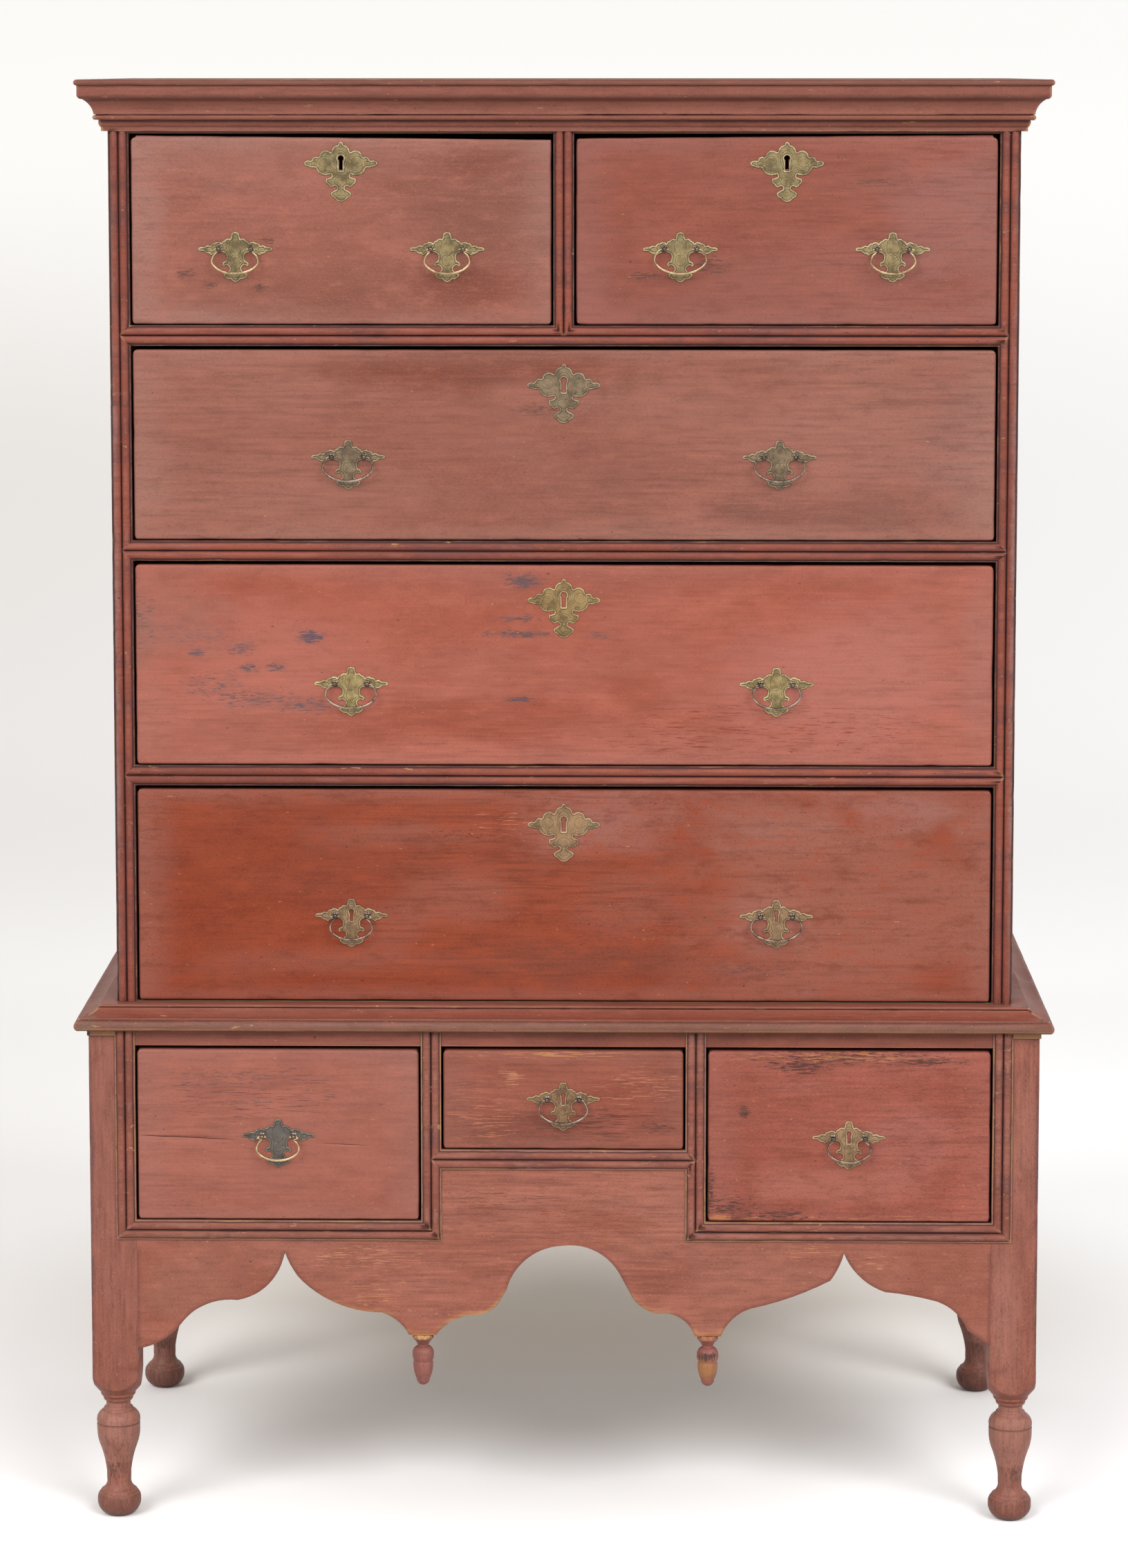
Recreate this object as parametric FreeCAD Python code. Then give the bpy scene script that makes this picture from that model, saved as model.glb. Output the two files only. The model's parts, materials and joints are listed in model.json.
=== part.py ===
"""A painted two-part highboy: a chest of five drawers on a base of three drawers with turned legs.

Millimetres. X runs across the front, +Y runs to the back, +Z is up. The origin is the centre of the
footprint at floor level. Each named node is written to parts/NODE.step.
"""
import FreeCAD, Part
import math
import os

V = FreeCAD.Vector

# ---------------------------------------------------------------- base (lower case)
lower_width = 1014.0            # outside of the leg posts
lower_depth = 507.0             # front of the posts to the back of the chest
lower_height = 540.0            # floor to the top of the posts
post_size = 49.5                # square leg post
post_bottom = 136.0             # where the square post ends and the turned leg begins
side_thickness = 18.0           # lower side boards
side_recess = 1.0               # side boards lie this far inside the post faces
side_board_depth = 300.0        # top of the base to the straight lower edge of side and back boards
side_board_end_depth = 348.0    # the same to the lower ends of the side boards, beside the posts
side_board_curve = 46.0         # length of the curve at each end of that edge
back_thickness = 14.0
apron_thickness = 20.0
top_rail_height = 17.5
top_rail_depth = 42.0
lower_drawer_height = 190.3     # opening of the two deep drawers
centre_drawer_height = 112.2    # opening of the shallow centre drawer
centre_opening = 261.0          # width of the centre drawer's opening

# ---------------------------------------------------------------- chest (upper case)
upper_side_inset = 28.0         # side of the chest inside the side of the base
upper_setback = 24.0            # moulding crest of the chest behind the post faces
board = 21.5                    # sides, rails, partitions and the mouldings on their edges
top_board_thickness = 20.0
chest_floor_height = 24.7       # base top to the floor of the lowest drawer's opening
row_heights = (234.1, 219.4, 206.8, 201.6)      # drawer openings, lowest row first
cornice_lift = 2.4              # underside of the cornice above the highest openings
rail_depth = 60.0
back_rabbet = 10.0
chest_back_thickness = 12.0
back_board_count = 3

# ---------------------------------------------------------------- mouldings
bead_thickness = 6.0            # double-bead strip on the chest's edges
lower_bead_thickness = 5.0      # the same strip on the face of the base
bead_rise = 3.4
bead_fillet = 1.5
waist_height = 24.5
waist_overhang = 14.0
waist_moulded_width = 27.0
waist_clearance = 0.8           # between the waist moulding and the chest that stands in it
bed_strip_height = 7.0
bed_strip_thickness = 1.4
cornice_height = 54.0
cornice_projection = 32.0

# ---------------------------------------------------------------- drawers
face_recess = 3.5               # drawer face behind the crest of the beads
front_thickness = 20.0
front_edge_radius = 2.4
gap_side = 2.2
gap_top = 4.2
gap_bottom = 0.8
runner_clearance = 0.3
drawer_side_thickness = 11.0
drawer_back_thickness = 10.0
drawer_bottom_thickness = 8.0
drawer_bottom_lift = 2.5
drawer_side_drop = 9.0          # drawer sides stop this far below the top of the front
upper_drawer_rear_gap = 22.5    # back of the drawer to the back boards
lower_drawer_rear_gap = 62.5
dovetail_lap = 13.0
dovetail_width = 26.0
dovetail_flare = 3.0
dovetail_margin = 30.0          # edge of the drawer side to the middle of its first tail
runner_height = 18.0
runner_width = 16.0
centre_runner_width = 70.0

# ---------------------------------------------------------------- brasses
plate_thickness = 1.2
post_spacing = 34.0
post_shank_radius = 2.0
post_ball_radius = 3.1
post_collar_radius = 3.4
post_collar_height = 1.0
pivot_offset = 8.0              # bail axis in front of the drawer face
shank_clearance = 0.2
pin_clearance = 0.25
wire_radius = 1.4
bail_drop = 25.6
bail_side_radius = 14.0
round_bail = 23.2               # half widths of the two bail shapes
wide_bail = 26.2
clench_length = 9.0
lock_width = 62.0
lock_height = 42.0
lock_thickness = 9.0
keyhole_radius = 2.9
keyhole_length = 12.0
keyhole_slot = 3.6

# ---------------------------------------------------------------- worked out from the above
base_front = -(lower_depth + waist_overhang) / 2 + waist_overhang       # face of posts and apron
back = base_front + lower_depth
half_base = lower_width / 2
half_chest = half_base - upper_side_inset
chest_crest = base_front + upper_setback
chest_front = chest_crest + bead_thickness
base_crest = base_front - lower_bead_thickness
chest_floor = lower_height + chest_floor_height
side_bottom = lower_height - side_board_depth
chest_opening = half_chest - board
base_opening_top = lower_height - top_rail_height
side_opening_floor = base_opening_top - lower_drawer_height
centre_opening_floor = base_opening_top - centre_drawer_height
half_centre = centre_opening / 2
partition_outer = half_centre + board
inner_back = back - chest_back_thickness
upper_face = chest_crest + face_recess
lower_face = base_crest + face_recess
upper_drawer_length = inner_back - upper_drawer_rear_gap - upper_face
lower_drawer_length = back - back_thickness - lower_drawer_rear_gap - lower_face

nodes = {}


# ---------------------------------------------------------------- small helpers
def block(x0, x1, y0, y1, z0, z1):
    return Part.makeBox(x1 - x0, y1 - y0, z1 - z0, V(x0, y0, z0))


def both_sides(shape):
    """The shape and its mirror image in the middle plane."""
    return [shape, shape.mirror(V(0, 0, 0), V(1, 0, 0))]


def fuse(shapes):
    joined = shapes[0].multiFuse(shapes[1:])
    return joined.removeSplitter()


def path_edges(start, steps, place):
    """Edges from start through steps: (x, y) is a line, (x, y, via_x, via_y) is an arc."""
    edges = []
    here = start
    for step in steps:
        end = (step[0], step[1])
        if len(step) == 4:
            edges.append(Part.Arc(place(*here), place(step[2], step[3]), place(*end)).toShape())
        else:
            edges.append(Part.makeLine(place(*here), place(*end)))
        here = end
    return edges


def prism(start, steps, place, along):
    """Closed outline pushed along a vector."""
    wire = Part.Wire(path_edges(start, list(steps) + [start], place))
    return Part.Face(wire).extrude(along)


def in_front_plane(y):
    return lambda x, z: V(x, y, z)


def turned(start, steps, x, y):
    """Half profile of (radius, height) pairs spun about the upright axis at x, y."""
    wire = Part.Wire(path_edges(start, list(steps) + [start], lambda r, z: V(x + r, y, z)))
    return Part.Face(wire).revolve(V(x, y, 0), V(0, 0, 1), 360)


def export(name, solids):
    if not isinstance(solids, list):
        solids = [solids]
    nodes[name] = solids


# ---------------------------------------------------------------- double-bead strips
def bead_steps(thickness):
    """Steps across a double-bead strip, from its near back corner: (across, depth)."""
    middle = board / 2
    quarter = bead_fillet + (middle - bead_fillet) / 2
    return [
        (0, bead_rise), (bead_fillet, bead_rise),
        (middle, bead_rise, quarter, 0),
        (board - bead_fillet, bead_rise, board - quarter, 0),
        (board, bead_rise), (board, thickness),
    ]


def upright_strip(x, z0, z1, crest, thickness):
    return prism((0, thickness), bead_steps(thickness),
                 lambda u, d: V(x + u, crest + d, z0), V(0, 0, z1 - z0))


def level_strip(z, x0, x1, crest, thickness):
    return prism((0, thickness), bead_steps(thickness),
                 lambda u, d: V(x0, crest + d, z + u), V(x1 - x0, 0, 0))


def cutter(points, crest, thickness):
    """Prism through a strip, with the given corners in the front plane."""
    return prism(points[0], points[1:], in_front_plane(crest - 1), V(0, thickness + 2, 0))


def pointed(x0, x1, z):
    """Outline of a level strip whose ends run to a point in the middle of the next strip."""
    middle = z + board / 2
    return [(x0, z), (x1, z), (x1 + board / 2, middle), (x1, z + board), (x0, z + board),
            (x0 - board / 2, middle)]


def chest_rows():
    """Floor and top of each row of drawers, lowest row first."""
    rows = []
    floor = chest_floor
    for height in row_heights:
        rows.append((floor, floor + height))
        floor += height + board
    return rows


rows = chest_rows()
rail_floors = [top for _, top in rows[:-1]]
top_opening = rows[-1][1]
cornice_floor = top_opening + cornice_lift
chest_top = cornice_floor + cornice_height
side_top = chest_top - top_board_thickness


# ---------------------------------------------------------------- chest carcase
def build_chest():
    side = block(chest_opening, half_chest, chest_front, back, lower_height, side_top)
    rabbet = block(half_chest - board - 1, half_chest - board + back_rabbet, inner_back, back + 1,
                   lower_height - 1, side_top + 1)
    export("upper_sides", both_sides(side.cut(rabbet)))
    export("upper_top_board",
           block(-half_chest, half_chest, chest_front, back, side_top, chest_top))
    export("upper_bottom_board",
           block(-chest_opening, chest_opening, chest_front, inner_back, chest_floor - board, chest_floor))

    half_back = chest_opening + back_rabbet
    pitch = (side_top - lower_height) / back_board_count
    export("upper_back_boards", [
        block(-half_back, half_back, inner_back, back, lower_height + i * pitch,
              lower_height + (i + 1) * pitch)
        for i in range(back_board_count)])

    rails = [block(-chest_opening, chest_opening, chest_front, chest_front + rail_depth, z, z + board)
             for z in rail_floors]
    rails.append(block(-chest_opening, chest_opening, chest_front, chest_front + front_thickness,
                       top_opening, side_top))
    rails.append(block(-board / 2, board / 2, chest_front, chest_front + rail_depth,
                       rows[-1][0], top_opening))
    export("upper_drawer_rails", rails)

    runners = []
    runner_start = chest_front + rail_depth
    for z in rail_floors:
        top = z + board
        runners += both_sides(block(chest_opening - runner_width, chest_opening, runner_start,
                                    inner_back, top - runner_height, top))
    top = rail_floors[-1] + board
    runners.append(block(-centre_runner_width / 2, centre_runner_width / 2, runner_start, inner_back,
                         top - runner_height, top))
    runners.append(block(-board / 2, board / 2, runner_start, inner_back, top, top + runner_height))
    export("upper_drawer_runners", runners)


def build_chest_beads():
    stile = upright_strip(chest_opening, chest_floor, cornice_floor, chest_crest, bead_thickness)
    divider = upright_strip(-board / 2, rail_floors[-1] + board / 2, cornice_floor, chest_crest,
                            bead_thickness)
    top_rail = rail_floors[-1] + board
    half = board / 2
    divider_outline = cutter([(-half, top_rail), (0, top_rail - half), (half, top_rail),
                              (half, cornice_floor), (-half, cornice_floor)], chest_crest, bead_thickness)
    strips = [divider.common(divider_outline)]
    for z in rail_floors:
        outline = cutter(pointed(-chest_opening, chest_opening, z), chest_crest, bead_thickness)
        strip = level_strip(z, -half_chest, half_chest, chest_crest, bead_thickness).common(outline)
        strips.append(strip.cut(divider_outline))
        stile = stile.cut(outline)
    strips += both_sides(stile)
    export("upper_bead_mouldings", strips)


# ---------------------------------------------------------------- mouldings that turn the corners
def mitred_frame(start, steps, half_width, front, depth_in):
    """Front piece and two returns of a moulding. The profile is (outward, height), measured from
    the planes x = half_width and y = front; depth_in is how far it reaches behind them."""
    reach = max(across for step in steps for across in step[::2]) + 1
    outer = half_width + reach
    inner = half_width - depth_in
    front_piece = prism(start, steps, lambda o, z: V(-outer, front - o, z), V(2 * outer, 0, 0))
    side_piece = prism(start, steps, lambda o, z: V(half_width + o, front - reach, z),
                       V(0, back - front + reach, 0))
    low = min(step[1] for step in steps) - 1
    high = max(step[1] for step in steps) + 1
    trapezium = prism((-outer, front - reach),
                      [(outer, front - reach), (inner, front + depth_in), (-inner, front + depth_in)],
                      lambda x, y: V(x, y, low), V(0, 0, high - low))
    return [front_piece.common(trapezium)] + both_sides(side_piece.cut(trapezium))


def build_cornice():
    top = chest_top
    bead = 6.4
    fascia = 8.8
    steps = [
        (cornice_projection - bead / 2, top),
        (cornice_projection - bead / 2, top - bead, cornice_projection, top - bead / 2),
        (29.0, top - bead), (29.0, top - bead - fascia),
        (24.0, top - 20.4, 27.6, top - 19.2),
        (13.5, top - 36.5, 16.6, top - 27.5),
        (11.5, top - 36.5),
        (11.5, top - 42.5, 14.4, top - 39.5),
        (9.0, top - 42.5),
        (6.6, top - 50.0, 8.8, top - 47.0),
        (6.6, cornice_floor), (0, cornice_floor),
    ]
    export("cornice_moulding", mitred_frame((0, top), steps, half_chest, chest_front, 0))


def build_waist():
    floor = lower_height
    top = floor + waist_height
    out = waist_overhang
    inner = out - waist_moulded_width
    ledge = upper_setback + bead_thickness + waist_overhang
    steps = [
        (inner + 1.5, top),
        (inner + 1.5, top - 3.4, inner + 3.2, top - 1.7),
        (inner + 4.0, top - 3.4),
        (out - 6.0, top - 10.6, inner + 12.0, top - 9.2),
        (out - 4.2, top - 10.6), (out - 4.2, top - 12.6),
        (out - 3.0, floor, out, floor + 6.4),
        (out - ledge, floor),
    ]
    pieces = mitred_frame((out - ledge, top), steps, half_base, base_front, ledge - out)
    chest_space = block(-half_chest - waist_clearance, half_chest + waist_clearance,
                        chest_front - waist_clearance, back + 1, floor - 1, top + 1)
    pieces = [piece.cut(chest_space) for piece in pieces]
    bed_top = floor
    bed_floor = floor - bed_strip_height
    side_bed = block(half_base, half_base + bed_strip_thickness, base_front - bed_strip_thickness, back,
                     bed_floor, bed_top)
    front_bed = block(half_chest, half_base, base_front - bed_strip_thickness, base_front,
                      bed_floor, bed_top)
    export("waist_moulding", pieces + both_sides(side_bed) + both_sides(front_bed))


# ---------------------------------------------------------------- legs
leg_radius = 23.3
post_shoulder = 24.0            # height over which the post's corners run out to their full square

# Turned part from the floor up: (radius, height[, radius and height on the arc]), as shares of
# leg_radius and post_bottom.
leg_profile = [
    (0.41, 0), (1, 0.125, 0.885, 0.047), (0.885, 0.184, 0.97, 0.162), (0.83, 0.184), (0.83, 0.199),
    (0.56, 0.294, 0.627, 0.232), (0.56, 0.353), (0.885, 0.581, 0.67, 0.463), (1, 0.706, 0.975, 0.643),
    (1, 0.746), (1, 0.76, 0.953, 0.753), (0.747, 0.85, 0.945, 0.816), (0.67, 0.85), (0.67, 0.871),
    (0.56, 0.891, 0.575, 0.876), (0.56, 0.929), (0.687, 0.959, 0.652, 0.937), (0.687, 0.968),
    (0.798, 1, 0.781, 0.978), (0, 1)]


def sized(profile, radius, height):
    """The shares of a profile as lengths."""
    return [tuple(share * (radius, height)[i % 2] for i, share in enumerate(step)) for step in profile]


def leg(x, y):
    """Square post with a turned foot, centred on x, y."""
    profile = sized(leg_profile, leg_radius, post_bottom)
    foot = turned((0, 0), profile, x, y)
    neck = profile[-2][0]
    half = post_size / 2
    corner = half * math.sqrt(2)
    shoulder = turned((0, post_bottom), [
        (neck, post_bottom),
        (corner + 1, post_bottom + post_shoulder, half + 1.5, post_bottom + 0.375 * post_shoulder),
        (corner + 1, lower_height), (0, lower_height)], x, y)
    post = block(x - half, x + half, y - half, y + half, post_bottom, lower_height).common(shoulder)
    return fuse([foot, post])


def build_legs():
    half = post_size / 2
    for place, y in (("front", base_front + half), ("rear", back - half)):
        for side, sign in (("left", -1), ("right", 1)):
            export(place + "_" + side + "_leg", leg(sign * (half_base - half), y))


# ---------------------------------------------------------------- base carcase
arch_top = 27.2                 # floor of the side openings down to the top of the middle arch
pendant_seat = 126.2            # the same, down to the flats that carry the pendants
pendant_radius = 11.4
pendant_length = 57.0
pendant_tip_radius = 7.2
pendant_left = 151.0            # middle of the apron to each pendant
pendant_right = 155.0

# Lower edge of the apron from the middle to the post: (across, down from the floor of the side
# openings[, across and down on the arc]). It is stretched to reach from post to post.
apron_left = [
    (61.0, 76.2, 43.0, 45.2), (69.0, 89.2), (100.0, 103.7, 82.0, 100.7),
    (137.0, pendant_seat, 124.0, 113.2), (165.5, pendant_seat), (195.0, 101.2, 176.0, 112.2),
    (286.0, 61.2, 255.0, 85.7), (299.0, 35.2, 293.5, 48.2), (350.0, 88.2, 318.0, 72.2),
    (409.0, 112.2, 387.0, 94.7), (457.5, 142.2, 430.0, 132.2)]
apron_right = [
    (62.0, 61.2, 43.0, 38.2), (74.0, 83.7), (101.0, 101.7, 86.0, 95.7),
    (141.0, pendant_seat, 127.0, 107.2), (169.0, pendant_seat), (202.0, 95.2, 182.0, 106.7),
    (286.0, 64.2, 247.0, 81.7), (300.5, 34.2, 294.5, 50.2), (345.0, 76.7, 320.0, 62.2),
    (400.0, 86.7, 374.0, 80.7), (433.0, 118.2, 421.0, 99.7), (457.5, 135.2)]


def apron_half(outline):
    """One half of the apron board, on the right of the middle."""
    stretch = (half_base - post_size) / outline[-1][0]
    steps = [tuple(side_opening_floor - value if i % 2 else value * stretch
                   for i, value in enumerate(step)) for step in outline]
    strip_floor = side_opening_floor - board
    steps += [
        (half_base - post_size, side_opening_floor),
        (partition_outer, side_opening_floor), (partition_outer, strip_floor),
        (half_centre, strip_floor), (half_centre, centre_opening_floor), (0, centre_opening_floor),
    ]
    return prism((0, side_opening_floor - arch_top), steps, in_front_plane(base_front),
                 V(0, apron_thickness, 0))


# Turned drop from the apron down: shares of pendant_radius and pendant_length, as for the legs.
pendant_profile = [
    (1, 0), (1, 0.081), (0.526, 0.21, 0.65, 0.168), (0.526, 0.246), (1, 0.386, 0.877, 0.291),
    (0.86, 0.526, 0.982, 0.474), (0.947, 0.554), (0.947, 0.586)]


def pendant(x):
    """Turned drop under the apron, with a round tip."""
    top = side_opening_floor - pendant_seat
    tip = pendant_tip_radius
    end = pendant_length - tip
    steps = sized(pendant_profile, pendant_radius, pendant_length)
    steps += [
        (tip, end, 0.877 * pendant_radius, 0.728 * pendant_length),
        (0, pendant_length, tip * math.sqrt(0.5), end + tip * math.sqrt(0.5))]
    steps = [tuple(top - value if i % 2 else value for i, value in enumerate(step)) for step in steps]
    return turned((0, top), steps, x, base_front + apron_thickness / 2)


def build_apron():
    left = apron_half(apron_left).mirror(V(0, 0, 0), V(1, 0, 0))
    export("apron", fuse([left, apron_half(apron_right)]))
    export("apron_pendants", [pendant(-pendant_left), pendant(pendant_right)])


def build_base():
    post_rear = base_front + post_size
    post_front = back - post_size
    outer = half_base - side_recess
    curve = side_board_curve
    side_end = lower_height - side_board_end_depth
    drop = side_bottom - side_end
    side = prism((post_rear, side_end), [
        (post_rear + curve, side_bottom, post_rear + 0.42 * curve, side_bottom - 0.3 * drop),
        (post_front - curve, side_bottom),
        (post_front, side_end, post_front - 0.42 * curve, side_bottom - 0.3 * drop),
        (post_front, lower_height), (post_rear, lower_height)],
        lambda y, z: V(outer - side_thickness, y, z), V(side_thickness, 0, 0))
    export("lower_side_boards", both_sides(side))

    post_inner = half_base - post_size
    export("lower_back_board", block(-post_inner, post_inner, back - back_thickness, back, side_bottom,
                                     lower_height))

    partition = block(half_centre, partition_outer, base_front, back - back_thickness,
                      side_opening_floor - board, base_opening_top)
    export("lower_partitions", both_sides(partition))
    export("lower_top_rail", block(-post_inner, post_inner, base_front,
                                   base_front + top_rail_depth, base_opening_top, lower_height))

    start = base_front + apron_thickness
    inner_board = outer - side_thickness
    outer_runner = block(post_inner - runner_width, inner_board, post_rear, post_front,
                         side_opening_floor - runner_height, side_opening_floor)
    guide = block(post_inner, inner_board, post_rear, post_front, side_opening_floor,
                  side_opening_floor + runner_height)
    inner_runner = block(partition_outer, partition_outer + runner_width, start, back - back_thickness,
                         side_opening_floor - runner_height, side_opening_floor)
    centre_runner = block(half_centre - runner_width, half_centre, start, back - back_thickness,
                          centre_opening_floor - runner_height, centre_opening_floor)
    runners = []
    for runner in (outer_runner, guide, inner_runner, centre_runner):
        runners += both_sides(runner)
    export("lower_drawer_runners", runners)


def build_base_beads():
    side_strip = side_opening_floor - board
    crest = base_crest
    thickness = lower_bead_thickness
    end_outline = [(chest_opening, lower_height), (chest_opening, side_opening_floor),
                   (half_chest, side_strip), (half_chest, lower_height)]
    partition_outline = [(partition_outer, lower_height), (partition_outer, side_opening_floor),
                         (half_centre, side_strip), (half_centre, lower_height)]
    bottom_outline = [(partition_outer, side_opening_floor), (half_centre, side_strip),
                      (half_chest, side_strip), (chest_opening, side_opening_floor)]
    centre_strip = centre_opening_floor - board
    centre_outline = cutter(pointed(-half_centre, half_centre, centre_strip), crest, thickness)

    end = upright_strip(chest_opening, side_strip, lower_height, crest, thickness)
    partition = upright_strip(half_centre, side_strip, lower_height, crest, thickness)
    bottom = level_strip(side_strip, half_centre, half_chest, crest, thickness)
    centre = level_strip(centre_strip, -partition_outer, partition_outer, crest, thickness)
    strips = [centre.common(centre_outline)]
    strips += both_sides(end.common(cutter(end_outline, crest, thickness)))
    partition = partition.common(cutter(partition_outline, crest, thickness)).cut(centre_outline)
    strips += both_sides(partition)
    strips += both_sides(bottom.common(cutter(bottom_outline, crest, thickness)))
    export("lower_bead_mouldings", strips)


# ---------------------------------------------------------------- brasses
def mirrored_plate(start, steps, x, face, z):
    """Flat plate from the right half of its outline, on the drawer face at x, z."""
    half = prism(start, steps, lambda u, w: V(x + u, face - plate_thickness, z + w),
                 V(0, plate_thickness, 0))
    return fuse([half, half.mirror(V(x, 0, 0), V(1, 0, 0))])


def keyhole(x, face, z, depth):
    """Round hole with a slot below it, from in front of the face to depth behind it."""
    front = face - plate_thickness - 1
    hole = Part.makeCylinder(keyhole_radius, depth + plate_thickness + 1, V(x, front, z), V(0, 1, 0))
    slot = block(x - keyhole_slot / 2, x + keyhole_slot / 2, front, face + depth, z - keyhole_length, z)
    return fuse([hole, slot])


def handle_plate(x, face, z, has_keyhole):
    plate = mirrored_plate((0, 16.8), [
        (5.6, 10.6, 4.2, 15.2),
        (15.0, 4.8, 11.6, 10.0),
        (27.6, 3.4, 21.2, 7.2),
        (38.2, 0.6, 33.4, 3.0),
        (37.8, -2.2, 39.0, -0.9),
        (28.6, -3.2, 33.0, -3.6),
        (25.4, -6.8, 26.6, -5.2),
        (10.4, -4.8, 18.0, -5.0),
        (9.2, -11.4, 8.6, -8.0),
        (12.0, -15.6, 11.2, -13.2),
        (5.6, -18.6, 8.2, -16.6),
        (6.4, -24.6, 4.6, -21.6),
        (10.4, -28.6, 9.4, -26.2),
        (0, -34.8, 6.2, -32.6)], x, face, z)
    for sign in (-1, 1):
        plate = plate.cut(Part.makeCylinder(post_shank_radius + shank_clearance, plate_thickness + 2,
                                            V(x + sign * post_spacing / 2, face - plate_thickness - 1, z),
                                            V(0, 1, 0)))
    if has_keyhole:
        plate = plate.cut(keyhole(x, face, z + 4, 0.5))
    return plate


def escutcheon(x, face, z):
    plate = mirrored_plate((0, 23.0), [
        (3.0, 19.6),
        (9.4, 12.6, 8.0, 17.8),
        (27.4, 5.2, 20.4, 12.6),
        (38.4, 0, 34.2, 4.6),
        (30.4, -6.0, 35.2, -4.4),
        (16.6, -14.0, 24.6, -12.8),
        (9.6, -13.6, 13.0, -9.4),
        (16.0, -18.0, 13.8, -14.8),
        (14.4, -26.0, 16.6, -22.4),
        (6.6, -27.6, 10.0, -23.2),
        (7.8, -33.0, 6.2, -30.2),
        (0, -40.4, 5.2, -38.0)], x, face, z)
    return plate.cut(keyhole(x, face, z + 5, 0.5))


def bail_post(x, face, z, inner_face):
    """Drilled ball on a shank that goes through the drawer front and is clenched behind it."""
    pivot = face - pivot_offset
    shank = Part.makeCylinder(post_shank_radius, inner_face + 1.5 - pivot, V(x, pivot, z), V(0, 1, 0))
    ball = Part.makeSphere(post_ball_radius, V(x, pivot, z))
    collar = Part.makeCylinder(post_collar_radius, post_collar_height,
                               V(x, face - plate_thickness - post_collar_height, z), V(0, 1, 0))
    clench = block(x - 1.2, x + 1.2, inner_face + 0.1, inner_face + 1.5, z - clench_length, z)
    eye = Part.makeCylinder(wire_radius + pin_clearance, 4 * post_ball_radius,
                            V(x - 2 * post_ball_radius, pivot, z), V(1, 0, 0))
    return fuse([shank, ball, collar, clench]).cut(eye)


def bail(x, face, z, half_width):
    """Bent wire from post to post, hanging straight down."""
    pivot = face - pivot_offset
    corner_x = post_spacing / 2 + post_ball_radius + 0.3
    corner = half_width - corner_x
    pin_end = post_spacing / 2 - post_ball_radius - 1.4
    across = half_width - bail_side_radius
    down = bail_drop - corner
    big = (across ** 2 + down ** 2 - bail_side_radius ** 2) / (2 * (down - bail_side_radius))
    centre_small = (across, -corner)
    centre_big = (0, big - bail_drop)
    reach = math.hypot(centre_small[0] - centre_big[0], centre_small[1] - centre_big[1])
    unit = ((centre_small[0] - centre_big[0]) / reach, (centre_small[1] - centre_big[1]) / reach)
    join = (centre_small[0] + bail_side_radius * unit[0], centre_small[1] + bail_side_radius * unit[1])
    turn = math.atan2(unit[1], unit[0]) / 2
    via_small = (across + bail_side_radius * math.cos(turn), -corner + bail_side_radius * math.sin(turn))
    root = corner * math.sqrt(0.5)
    via_corner = (corner_x + root, -corner + root)
    steps = [
        (corner_x, 0),
        (half_width, -corner) + via_corner,
        join + via_small,
        (-join[0], join[1], 0, -bail_drop),
        (-half_width, -corner, -via_small[0], via_small[1]),
        (-corner_x, 0, -via_corner[0], via_corner[1]),
        (-pin_end, 0),
    ]
    path = Part.Wire(path_edges((pin_end, 0), steps, lambda u, w: V(x + u, pivot, z + w)))
    ring = Part.Wire(Part.makeCircle(wire_radius, V(x + pin_end, pivot, z), V(1, 0, 0)))
    return path.makePipeShell([ring], True, False)


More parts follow.
